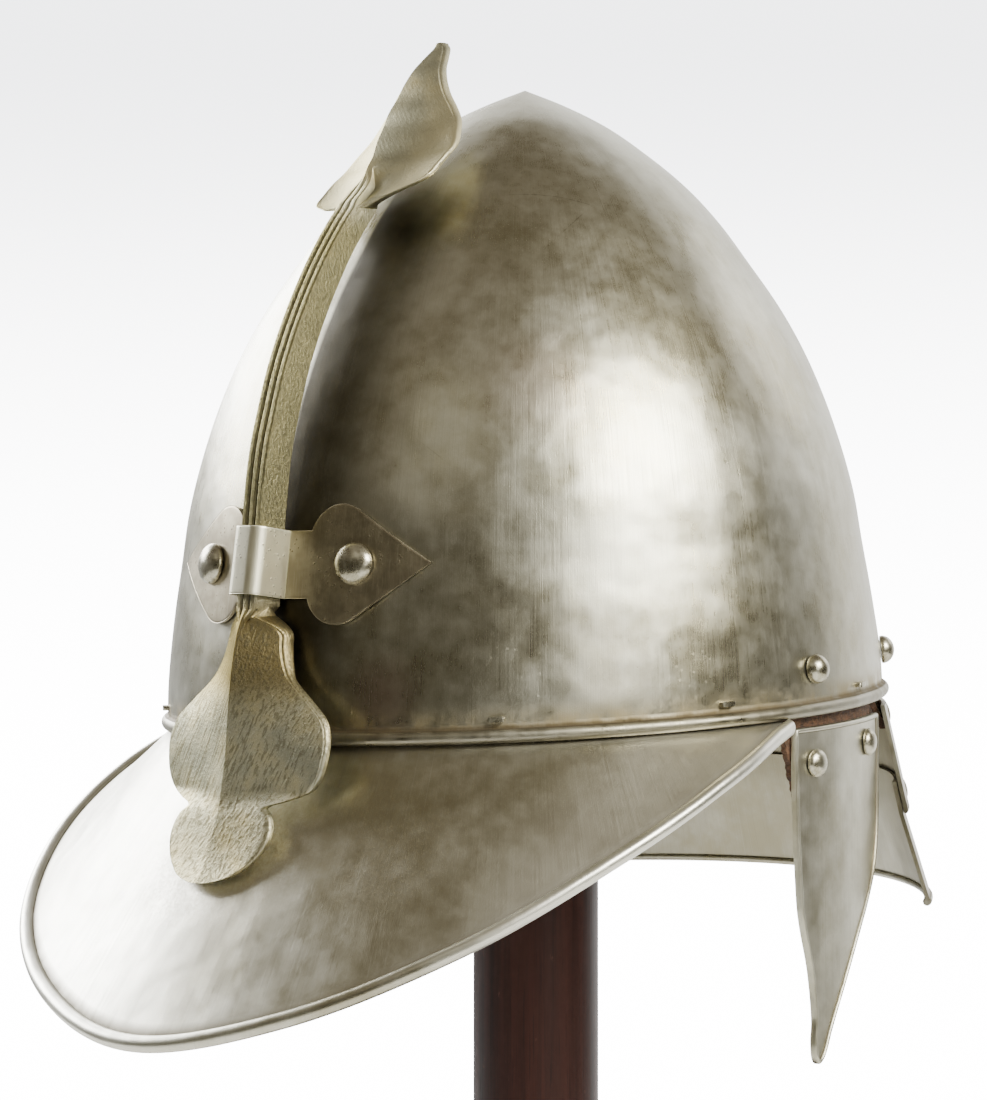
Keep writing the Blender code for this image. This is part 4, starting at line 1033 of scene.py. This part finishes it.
def bracket_point(along, up_strip, out):
    """Wrap the flat strip: its ends lie on the skull, its middle stands out as a loop."""
    side = 1 if along >= 0 else -1
    across, depth, look_across, look_out = loop_place(abs(along))
    across += out * look_across
    depth += GAP + out * look_out
    slope = skull_slope(BRACKET_HEIGHT)
    radius = skull_radius(BRACKET_HEIGHT)
    if abs(along) >= CORNER + FOOT_FOLD:
        height = BRACKET_HEIGHT + up_strip * cos(slope)
        angle = side * (across - STRAP_THICKNESS) / radius * 180 / pi
        return settle(on_skull(angle, height, depth))
    outward = Vector((0, -cos(slope), sin(slope)))
    upward = Vector((0, sin(slope), cos(slope)))
    base = on_skull(0, BRACKET_HEIGHT, 0)
    sag = min(radius - (radius ** 2 - across ** 2) ** 0.5, 0.0004)
    return settle(base + outward * (depth - sag) + upward * up_strip
                  + Vector((side * across, 0, 0)))


upper = heart_outline()
folds = [LOOP_HALF + FRONT_FOLD * part / 5 for part in range(-5, 6)]
folds += [CORNER + FOOT_FOLD * part / 2 for part in range(-2, 3)]
right_half = [(x, -y) for x, y in upper] + [(HEART_TIP + LOOP_RISE, 0)]
right_half += [(x, y) for x, y in reversed(upper)]
outline = right_half + [(-x, -y) for x, y in right_half]
worn_edge = ((0.00012, 0.00010, 0.0), (0.00022, 0.00016, 0.0), (0.00040, 0.00016, 0.0))
rounded = [(width, rise - 0.00016, dirt) for width, rise, dirt in worn_edge]
bm = plate(outline, 0.0016, STRAP_THICKNESS, rounded, [side * x for x in folds for side in (1, -1)])
bend(bm, bracket_point)
print("bracket half length", round(HEART_TIP + LOOP_RISE, 4))

# %% [markdown]
# The bracket's steel is browner than the helmet's, with brush lines that run up and down, and its
# loop is worn bright. The rivets in the hearts are polished by handling.

# %% Dark and polished steel
DARK_BROWN = (0.31, 0.27, 0.19, 1)
PALE_BROWN = (0.47, 0.42, 0.305, 1)
BRUSHED = (0.54, 0.50, 0.39, 1)
LOOP_BRIGHT = (0.80, 0.77, 0.60, 1)
POLISHED_LOW = (0.34, 0.315, 0.23, 1)
POLISHED_HIGH = (0.60, 0.575, 0.47, 1)

dark_steel = Finish("dark_steel", 0.36)
brush = dark_steel.streaks(3800.0, 120.0, 3.0)
tone = dark_steel.noise(dark_steel.place, 120.0, 3.0, 0.6)
loop_wear = 1 - dark_steel.x.math("ABSOLUTE").ramp(0.0057, 0.0064)
colour = dark_steel.mix(tone.ramp(0.35, 0.7), DARK_BROWN, PALE_BROWN)
colour = dark_steel.mix(brush.ramp(0.50, 0.75) * 0.4, colour, BRUSHED)
colour = dark_steel.mix(loop_wear * 0.95, colour, LOOP_BRIGHT)
spots = dark_steel.node("ShaderNodeTexVoronoi",
                        inputs={"Vector": dark_steel.place, "Scale": 620.0})
spots = (1 - spots.ramp(0.12, 0.26)) * tone.ramp(0.45, 0.6)
colour = dark_steel.mix(spots * 0.75, colour, BROWN_DIRT)
rough = dark_steel.roughness + (brush - 0.5) * 0.22 + loop_wear * 0.05 + spots * 0.25
normal = dark_steel.bump(brush, 0.00003, 0.8)
normal = dark_steel.bump(spots, 0.00006, 0.7, normal)
dark_steel.finish(colour, rough, normal)

polished_steel = Finish("polished_steel", 0.29)
tone = polished_steel.noise(polished_steel.place, 330.0, 4.0, 0.65)
fine = polished_steel.noise(polished_steel.place, 2400.0, 2.0)
colour = polished_steel.mix(tone.ramp(0.35, 0.7), POLISHED_LOW, POLISHED_HIGH)
rough = polished_steel.roughness + (tone - 0.5) * 0.18 + (fine - 0.5) * 0.10
normal = polished_steel.bump(tone, 0.00016, 0.7)
polished_steel.finish(colour, rough, normal)
finished("heart_bracket", bm, dark_steel.material, ["nasal_bracket"], FIXED, 38)

# %% [markdown]
# Every rivet head is the same turned button at another size. `placed` gives a matrix that looks out
# of the face it sits on, and the matrix is applied to the mesh, so each object stays at the origin.

# %% Rivets in the hearts and on the skull
RIVET_SIDES = 40
SKULL_RIVET_RADIUS = 0.0044
SKULL_RIVET_PROUD = 0.0042
SKULL_RIVET_RISE = 0.0116
CHEEK_SKULL_RIVET_ANGLE = 92.8
NECK_SKULL_RIVET_ANGLE = 131.0


def rivet(name, node_name, radius, height, place, material, power=0.92):
    """Domed rivet head on a placed face."""
    outline = [(0, 0), (radius * 0.955, 0)]
    for angle in steps_between(8, 90, 14):
        outline.append((radius * cos(radians(angle)), height * sin(radians(angle)) ** power))
    outline[-1] = (0, height)
    bm = turned(outline, RIVET_SIDES)
    bmesh.ops.transform(bm, matrix=place, verts=bm.verts)
    return finished(name, bm, material, [node_name], FIXED, 60)


half_turn = BRACKET_RIVET_PLACE / skull_radius(BRACKET_HEIGHT) * 180 / pi
for side, name in ((1, "left"), (-1, "right")):
    place = placed(on_skull, side * half_turn, BRACKET_HEIGHT, GAP * 2 + STRAP_THICKNESS)
    rivet("heart_rivet_" + name, "bracket_rivet_" + name, BRACKET_RIVET_RADIUS,
          BRACKET_RIVET_HEIGHT, place, polished_steel.material)
for name, angle in (("left_front", CHEEK_SKULL_RIVET_ANGLE), ("left_back", NECK_SKULL_RIVET_ANGLE),
                    ("back", 180.0), ("right_back", -NECK_SKULL_RIVET_ANGLE),
                    ("right_front", -CHEEK_SKULL_RIVET_ANGLE)):
    place = placed(on_skull, angle, SKULL_RIVET_RISE, GAP)
    rivet("rim_rivet_" + name, "skull_rivet_" + name, SKULL_RIVET_RADIUS, SKULL_RIVET_PROUD,
          place, polished_steel.material)

# %% [markdown]
# Small flat pins sit just above the rim bead, where the peak's flange is held. Each is a bar with
# its outer edges rounded by a bevel, polished like the rivets.

# %% Pins above the rim
RIM_PIN_WIDTH = 0.0048
RIM_PIN_HEIGHT = 0.0015
RIM_PIN_PROUD = 0.0020
RIM_PIN_RISE = 0.0047
RIM_PIN_ANGLES = (38.4, 74.0, 106.7, 145.0)

for side, name in ((1, "left"), (-1, "right")):
    for number, angle in enumerate(RIM_PIN_ANGLES, 1):
        bm = bmesh.new()
        bm.verts.layers.float.new("dirt")
        bmesh.ops.create_cube(bm, size=1)
        bmesh.ops.scale(bm, verts=bm.verts, vec=(RIM_PIN_WIDTH, RIM_PIN_HEIGHT, RIM_PIN_PROUD))
        outer = [edge for edge in bm.edges if max(v.co.z for v in edge.verts) > 0]
        ends = [edge for edge in outer if abs(edge.verts[0].co.x - edge.verts[1].co.x) < 1e-6]
        bmesh.ops.bevel(bm, geom=ends, offset=RIM_PIN_PROUD * 0.32, segments=4, profile=0.5,
                        affect="EDGES", material=-1)
        place = placed(on_skull, side * angle, RIM_PIN_RISE, RIM_PIN_PROUD * 0.36)
        bmesh.ops.transform(bm, matrix=place, verts=bm.verts)
        finished(f"pin_{name}_{number}", bm, polished_steel.material, [f"rim_pin_{name}_{number}"],
                 FIXED, 50)

# %% [markdown]
# The cheek pieces hang below the rim. Each is a shaped plate with a raised, rounded edge. The
# outline comes from a few points through which a smooth curve runs.

# %% Cheek pieces
CHEEK_CENTRE_ANGLE = 103.4
CHEEK_WIDTH = 0.0600
CHEEK_DROP = 0.0995
CHEEK_TOP_GAP = 0.0030
CHEEK_PLATE = 0.0014
CHEEK_EDGE_WIDTH = 0.0018
CHEEK_EDGE_RISE = 0.0007
CHEEK_RIVET_RADIUS = 0.0042
CHEEK_RIVET_HEIGHT = 0.0028
CHEEK_OUTLINE = (
    (0.000, 0.000), (0.980, 0.010), (1.000, 0.180), (0.985, 0.350), (0.905, 0.470),
    (0.780, 0.555), (0.650, 0.635), (0.535, 0.717), (0.394, 0.832), (0.310, 0.910),
    (0.268, 0.960), (0.232, 0.990), (0.195, 1.000), (0.163, 0.980), (0.153, 0.930),
    (0.160, 0.860), (0.125, 0.720), (0.061, 0.583), (0.034, 0.480), (0.007, 0.221),
)
CHEEK_RIVETS = ((0.165, 0.110), (0.750, 0.085))
CURVE_STEPS = 5


def smooth_outline(points, corners):
    """Closed outline through the points, smooth except at the numbered corners."""
    count = len(points)
    result = []
    for index in range(count):
        before, start, end, after = (Vector(points[(index + shift) % count])
                                     for shift in (-1, 0, 1, 2))
        leave = (end - before) / 2 if index not in corners else end - start
        arrive = (after - start) / 2 if (index + 1) % count not in corners else end - start
        for step in range(CURVE_STEPS):
            t = step / CURVE_STEPS
            place = (start * (1 + 2 * t) * (1 - t) ** 2 + end * t * t * (3 - 2 * t)
                     + leave * t * (1 - t) ** 2 - arrive * t * t * (1 - t))
            result.append((place.x, place.y))
    return result


CHEEK_BACK = SKULL_RADIUS - RIM_BEAD_RADIUS
CHEEK_TOP = -RIM_BEAD_RADIUS - CHEEK_TOP_GAP


def cheek_angle(share):
    """Angle round the helmet at a share of the cheek piece's width from its front edge."""
    return CHEEK_CENTRE_ANGLE + (share - 0.5) * CHEEK_WIDTH / SKULL_RADIUS * 180 / pi


def cheek_face(angle, height, out):
    """Point on the outer face of a cheek piece."""
    return round_axis(angle, CHEEK_BACK + CHEEK_PLATE + out, height)


plain_steel = Finish("plate_steel", 0.34)
colour, rough, normal, mottle = steel_base(plain_steel)
colour = plain_steel.mix(plain_steel.dirt * (0.5 + mottle * 0.6), colour, BROWN_DIRT)
rough = rough + plain_steel.dirt * 0.2
plain_steel.finish(colour, rough, normal)

flat_outline = smooth_outline([(share * CHEEK_WIDTH, -down * CHEEK_DROP)
                               for share, down in CHEEK_OUTLINE], (0, 1))
step = CHEEK_EDGE_WIDTH / 5
raised_edge = [(step * 0.6, CHEEK_EDGE_RISE * 0.55, 0.0), (step, CHEEK_EDGE_RISE, 0.0),
               (step, CHEEK_EDGE_RISE, 0.0), (step, CHEEK_EDGE_RISE * 0.72, 0.1),
               (step * 0.6, 0.0, 1.0), (step * 0.8, 0.0, 0.0)]
for side, name in ((1, "left"), (-1, "right")):
    bm = plate(flat_outline, 0.0030, CHEEK_PLATE, raised_edge)
    bend(bm, lambda x, y, z: settle(round_axis(side * cheek_angle(x / CHEEK_WIDTH),
                                               CHEEK_BACK + z, CHEEK_TOP + y)))
    finished("cheek_plate_" + name, bm, plain_steel.material, ["cheek_piece_" + name], FIXED,
             45)
    for number, (share, down) in enumerate(CHEEK_RIVETS, 1):
        place = placed(cheek_face, side * cheek_angle(share), CHEEK_TOP - CHEEK_DROP * down, GAP)
        rivet(f"cheek_button_{name}_{number}", f"cheek_rivet_{name}_{number}", CHEEK_RIVET_RADIUS,
              CHEEK_RIVET_HEIGHT, place, polished_steel.material)

# %% [markdown]
# The neck guard is two lames, long curved strips with rolled lower edges, that overlap and hang on
# leather. Their sections are lofted round the back of the helmet.

# %% Neck guard
NECK_LEATHER_ANGLE = 136.0
NECK_START_ANGLE = 122.0
NECK_UPPER_DROP = 0.0380
NECK_LOWER_DROP = 0.0660
NECK_OVERLAP = 0.0100
NECK_UPPER_FLARE = 0.0075
NECK_LOWER_FLARE = 0.0085
NECK_PLATE = 0.0013
NECK_BEAD_RADIUS = 0.0014
NECK_TOP_GAP = 0.0025
NECK_RIVET_RADIUS = 0.0035
NECK_RIVET_HEIGHT = 0.0012
NECK_STEPS = 110
NECK_TRIM = 0.00003
NECK_TOP = -RIM_BEAD_RADIUS - NECK_TOP_GAP


def neck_upper_radius(height):
    """Middle radius of the upper lame."""
    share = (NECK_TOP - height) / (NECK_UPPER_DROP + NECK_TOP)
    return SKULL_RADIUS + 0.0004 + NECK_UPPER_FLARE * share


def neck_lower_radius(height):
    """Middle radius of the lower lame."""
    step = NECK_PLATE + GAP + 0.0001
    if height > -NECK_UPPER_DROP:
        return neck_upper_radius(height) - step
    share = (-height - NECK_UPPER_DROP) / (NECK_LOWER_DROP - NECK_UPPER_DROP)
    return neck_upper_radius(-NECK_UPPER_DROP) - step + NECK_LOWER_FLARE * share


def lame_section(angle, radius_at, heights, bead):
    """Closed section of a lame at an angle and its dirt, with a rolled lower edge."""
    half = NECK_PLATE / 2
    points = [(radius_at(height) + half, height) for height in heights]
    dirt = [0.0] * (len(heights) - 1) + [0.8]
    bottom, middle = heights[-1] - bead * 0.6, radius_at(heights[-1])
    for side in steps_between(40, -210, 16):
        points.append((middle - NECK_TRIM + bead * cos(radians(side)),
                       bottom + bead * sin(radians(side))))
        dirt.append(0.0)
    points += [(radius_at(height) - half, height) for height in reversed(heights)]
    dirt += [0.2] * len(heights)
    return [settle(round_axis(angle, radius, height)) for radius, height in points], dirt


upper_end = -NECK_UPPER_DROP + NECK_PLATE
lower_end = -NECK_LOWER_DROP + NECK_BEAD_RADIUS * 1.5
upper_heights = steps_between(NECK_TOP, upper_end, 8)
lower_heights = (steps_between(-NECK_UPPER_DROP + NECK_OVERLAP, -NECK_UPPER_DROP, 3)
                 + steps_between(-NECK_UPPER_DROP - 0.002, lower_end, 8))
angles = steps_between(NECK_START_ANGLE, 360 - NECK_START_ANGLE, NECK_STEPS)
for name, radius_at, heights, bead in (
        ("upper", neck_upper_radius, upper_heights, NECK_PLATE * 0.52),
        ("lower", neck_lower_radius, lower_heights, NECK_BEAD_RADIUS)):
    made = [lame_section(angle, radius_at, heights, bead) for angle in angles]
    bm = lofted([section for section, dirt in made], [dirt for section, dirt in made])
    finished("neck_lame_" + name, bm, plain_steel.material, ["neck_guard_" + name], FIXED,
             45)

# %% Rivets of the neck guard
NECK_LEATHER_DROP = 0.0130
lame_slant = atan(NECK_UPPER_FLARE / (NECK_UPPER_DROP + NECK_TOP))


def lame_face(angle, height, out):
    """Point on the outer face of the upper lame."""
    radius = neck_upper_radius(height) + NECK_PLATE / 2 / cos(lame_slant) + out * cos(lame_slant)
    return round_axis(angle, radius, height + out * sin(lame_slant))


for name, angle in (("left", NECK_LEATHER_ANGLE), ("back", 180.0), ("right", -NECK_LEATHER_ANGLE)):
    for label, height in (("upper", (NECK_TOP - NECK_LEATHER_DROP) / 2),
                          ("lower", -NECK_UPPER_DROP + NECK_OVERLAP / 2)):
        rivet(f"neck_button_{name}_{label}", f"neck_rivet_{name}_{label}", NECK_RIVET_RADIUS,
              NECK_RIVET_HEIGHT, placed(lame_face, angle, height, GAP), plain_steel.material)

# %% [markdown]
# The leather that carries the cheek pieces is old and dark. Its front edge is torn, so the edge
# points are moved in and out by a little noise. The straps behind the lames stay the plain pieces
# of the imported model, which only need the finish.

# %% Leather
LEATHER_THICKNESS = 0.0020
LEATHER_RISE = 0.0180
CHEEK_LEATHER_DROP = 0.0270
CHEEK_LEATHER_MARGIN = 0.0030
TORN_DEPTH = 0.0009
PACKED_SIDES = 54
LEATHER_DARK = (0.030, 0.014, 0.007, 1)
LEATHER_PALE = (0.135, 0.066, 0.032, 1)

leather = Finish("brown_leather", 0.78)
leather.shader.inputs["Metallic"].default_value = 0.0
pores = leather.node("ShaderNodeTexVoronoi", inputs={"Vector": leather.place, "Scale": 900.0})
fibre = leather.noise(leather.place, 420.0, 5.0, 0.75)
colour = leather.mix(fibre.ramp(0.3, 0.75), LEATHER_DARK, LEATHER_PALE)
rough = leather.roughness + (fibre - 0.5) * 0.25
normal = leather.bump(fibre, 0.0010, 0.8)
normal = leather.bump(pores, 0.00025, 0.5, normal)
leather.finish(colour, rough, normal)


def inside_radius(height):
    """Largest radius of a piece that lies inside the skull at a height."""
    within = SKULL_RADIUS - RIM_BEAD_RADIUS - GAP
    if height > 0:
        within = min(within, skull_radius(height) - SKULL_WALL - skull_bow(height) - GAP)
    return within - SKULL_RADIUS * (1 - cos(pi / PACKED_SIDES))


leather_start = PEAK_HALF_ANGLE + 0.9
leather_end = cheek_angle(1) - CHEEK_LEATHER_MARGIN / SKULL_RADIUS * 180 / pi
leather_width = radians(leather_end - leather_start) * SKULL_RADIUS
front_edge = radians(cheek_angle(0.06) - leather_start) * SKULL_RADIUS
edge_points = [(0, LEATHER_RISE), (0, -0.004), (0.0008, -0.010), (0.0024, -0.015),
               (front_edge, -CHEEK_LEATHER_DROP), (leather_width, -CHEEK_LEATHER_DROP),
               (leather_width, LEATHER_RISE)]
torn = []
for start, end in zip(edge_points, edge_points[1:] + edge_points[:1]):
    count = max(1, int(hypot(end[0] - start[0], end[1] - start[1]) / 0.0006))
    for number in range(count):
        share = number / count
        x, y = start[0] + (end[0] - start[0]) * share, start[1] + (end[1] - start[1]) * share
        if x < front_edge + 0.001 and y < -0.001:
            x += TORN_DEPTH * (0.4 + 0.8 * noise.noise(Vector((3.1, y * 900, 0.5))))
        torn.append((x, y))
outer_leather = CHEEK_BACK - GAP
for side, name in ((1, "left"), (-1, "right")):
    bm = plate(torn, 0.0035, LEATHER_THICKNESS)

    def hang(x, y, z):
        face = min(outer_leather, inside_radius(y))
        return settle(round_axis(side * (leather_start + x / SKULL_RADIUS * 180 / pi),
                                 face - LEATHER_THICKNESS + z, y))

    bend(bm, hang)
    finished("cheek_strap_" + name, bm, leather.material, ["cheek_leather_" + name], FIXED,
             45)


def refinish(node_name, material):
    """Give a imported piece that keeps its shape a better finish."""
    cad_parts[node_name].data.materials.clear()
    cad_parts[node_name].data.materials.append(material)


for name in ("left", "back", "right"):
    refinish("neck_leather_" + name, leather.material)

# %% [markdown]
# The stand is turned mahogany: a round foot, a post and a plain head inside the helmet.
# The wood's grain is a noise stretched along the post, under a thin worn polish.

# %% Mahogany
WOOD_DARK = (0.008, 0.003, 0.0025, 1)
WOOD_RED = (0.034, 0.010, 0.007, 1)
WOOD_PORE = (0.010, 0.004, 0.004, 1)
WOOD_WORN = (0.15, 0.065, 0.045, 1)

wood = Finish("mahogany", 0.42)
wood.shader.inputs["Metallic"].default_value = 0.0
wood.shader.inputs["Coat Roughness"].default_value = 0.30
wood.shader.inputs["Specular IOR Level"].default_value = 0.18
long_grain = wood.noise(wood.join(wood.x * 420.0, wood.y * 420.0, wood.z * 9.0), 1.0, 4.0, 0.6)
bands = wood.noise(wood.join(wood.x * 60.0, wood.y * 60.0, wood.z * 2.0), 1.0, 3.0)
pore_lines = wood.noise(wood.join(wood.x * 1700.0, wood.y * 1700.0, wood.z * 40.0), 1.0, 2.0)
colour = wood.mix((bands * 0.6 + long_grain * 0.5).ramp(0.35, 0.75), WOOD_DARK, WOOD_RED)
colour = wood.mix(pore_lines.ramp(0.60, 0.72) * 0.55, colour, WOOD_PORE)
worn = wood.noise(wood.join(wood.x * 300.0, wood.y * 300.0, wood.z * 90.0), 1.0, 4.0, 0.7)
colour = wood.mix(worn.ramp(0.66, 0.74) * 0.35, colour, WOOD_WORN)
rough = wood.roughness + (long_grain - 0.5) * 0.2 + worn.ramp(0.6, 0.8) * 0.2
wood.feed("Coat Weight", 0.06 + worn * 0.10)
normal = wood.bump(long_grain * 0.6 + pore_lines * 0.4, 0.00012, 0.6)
wood.finish(colour, rough, normal)
print("mahogany", len(wood.tree.nodes), "nodes")

# %% Stand
POST_RADIUS = 0.0195
BASE_RADIUS = 0.1000
BASE_THICKNESS = 0.0220
BASE_CHAMFER = 0.0030
TURNED_SIDES = 160

foot_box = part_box("stand_post")
post = [(0, foot_box[0].z), (POST_RADIUS, foot_box[0].z)]
post += [(POST_RADIUS, height) for height in steps_between(foot_box[0].z + 0.004,
                                                          foot_box[1].z - 0.004, 12)]
post += [(POST_RADIUS, foot_box[1].z), (0, foot_box[1].z)]
finished("turned_post", turned(post, TURNED_SIDES), wood.material, ["stand_post"], FIXED,
         40)
shoulder = BASE_THICKNESS - BASE_CHAMFER
base = [(0, 0), (BASE_RADIUS - 0.0006, 0), (BASE_RADIUS, 0.0006), (BASE_RADIUS, shoulder)]
for angle in steps_between(10, 90, 8):
    base.append((BASE_RADIUS - BASE_CHAMFER * (1 - cos(radians(angle))),
                 shoulder + BASE_CHAMFER * sin(radians(angle))))
base.append((0, BASE_THICKNESS))
finished("turned_foot", turned(base, TURNED_SIDES), wood.material, ["stand_base"], FIXED,
         40)
refinish("stand_head", wood.material)
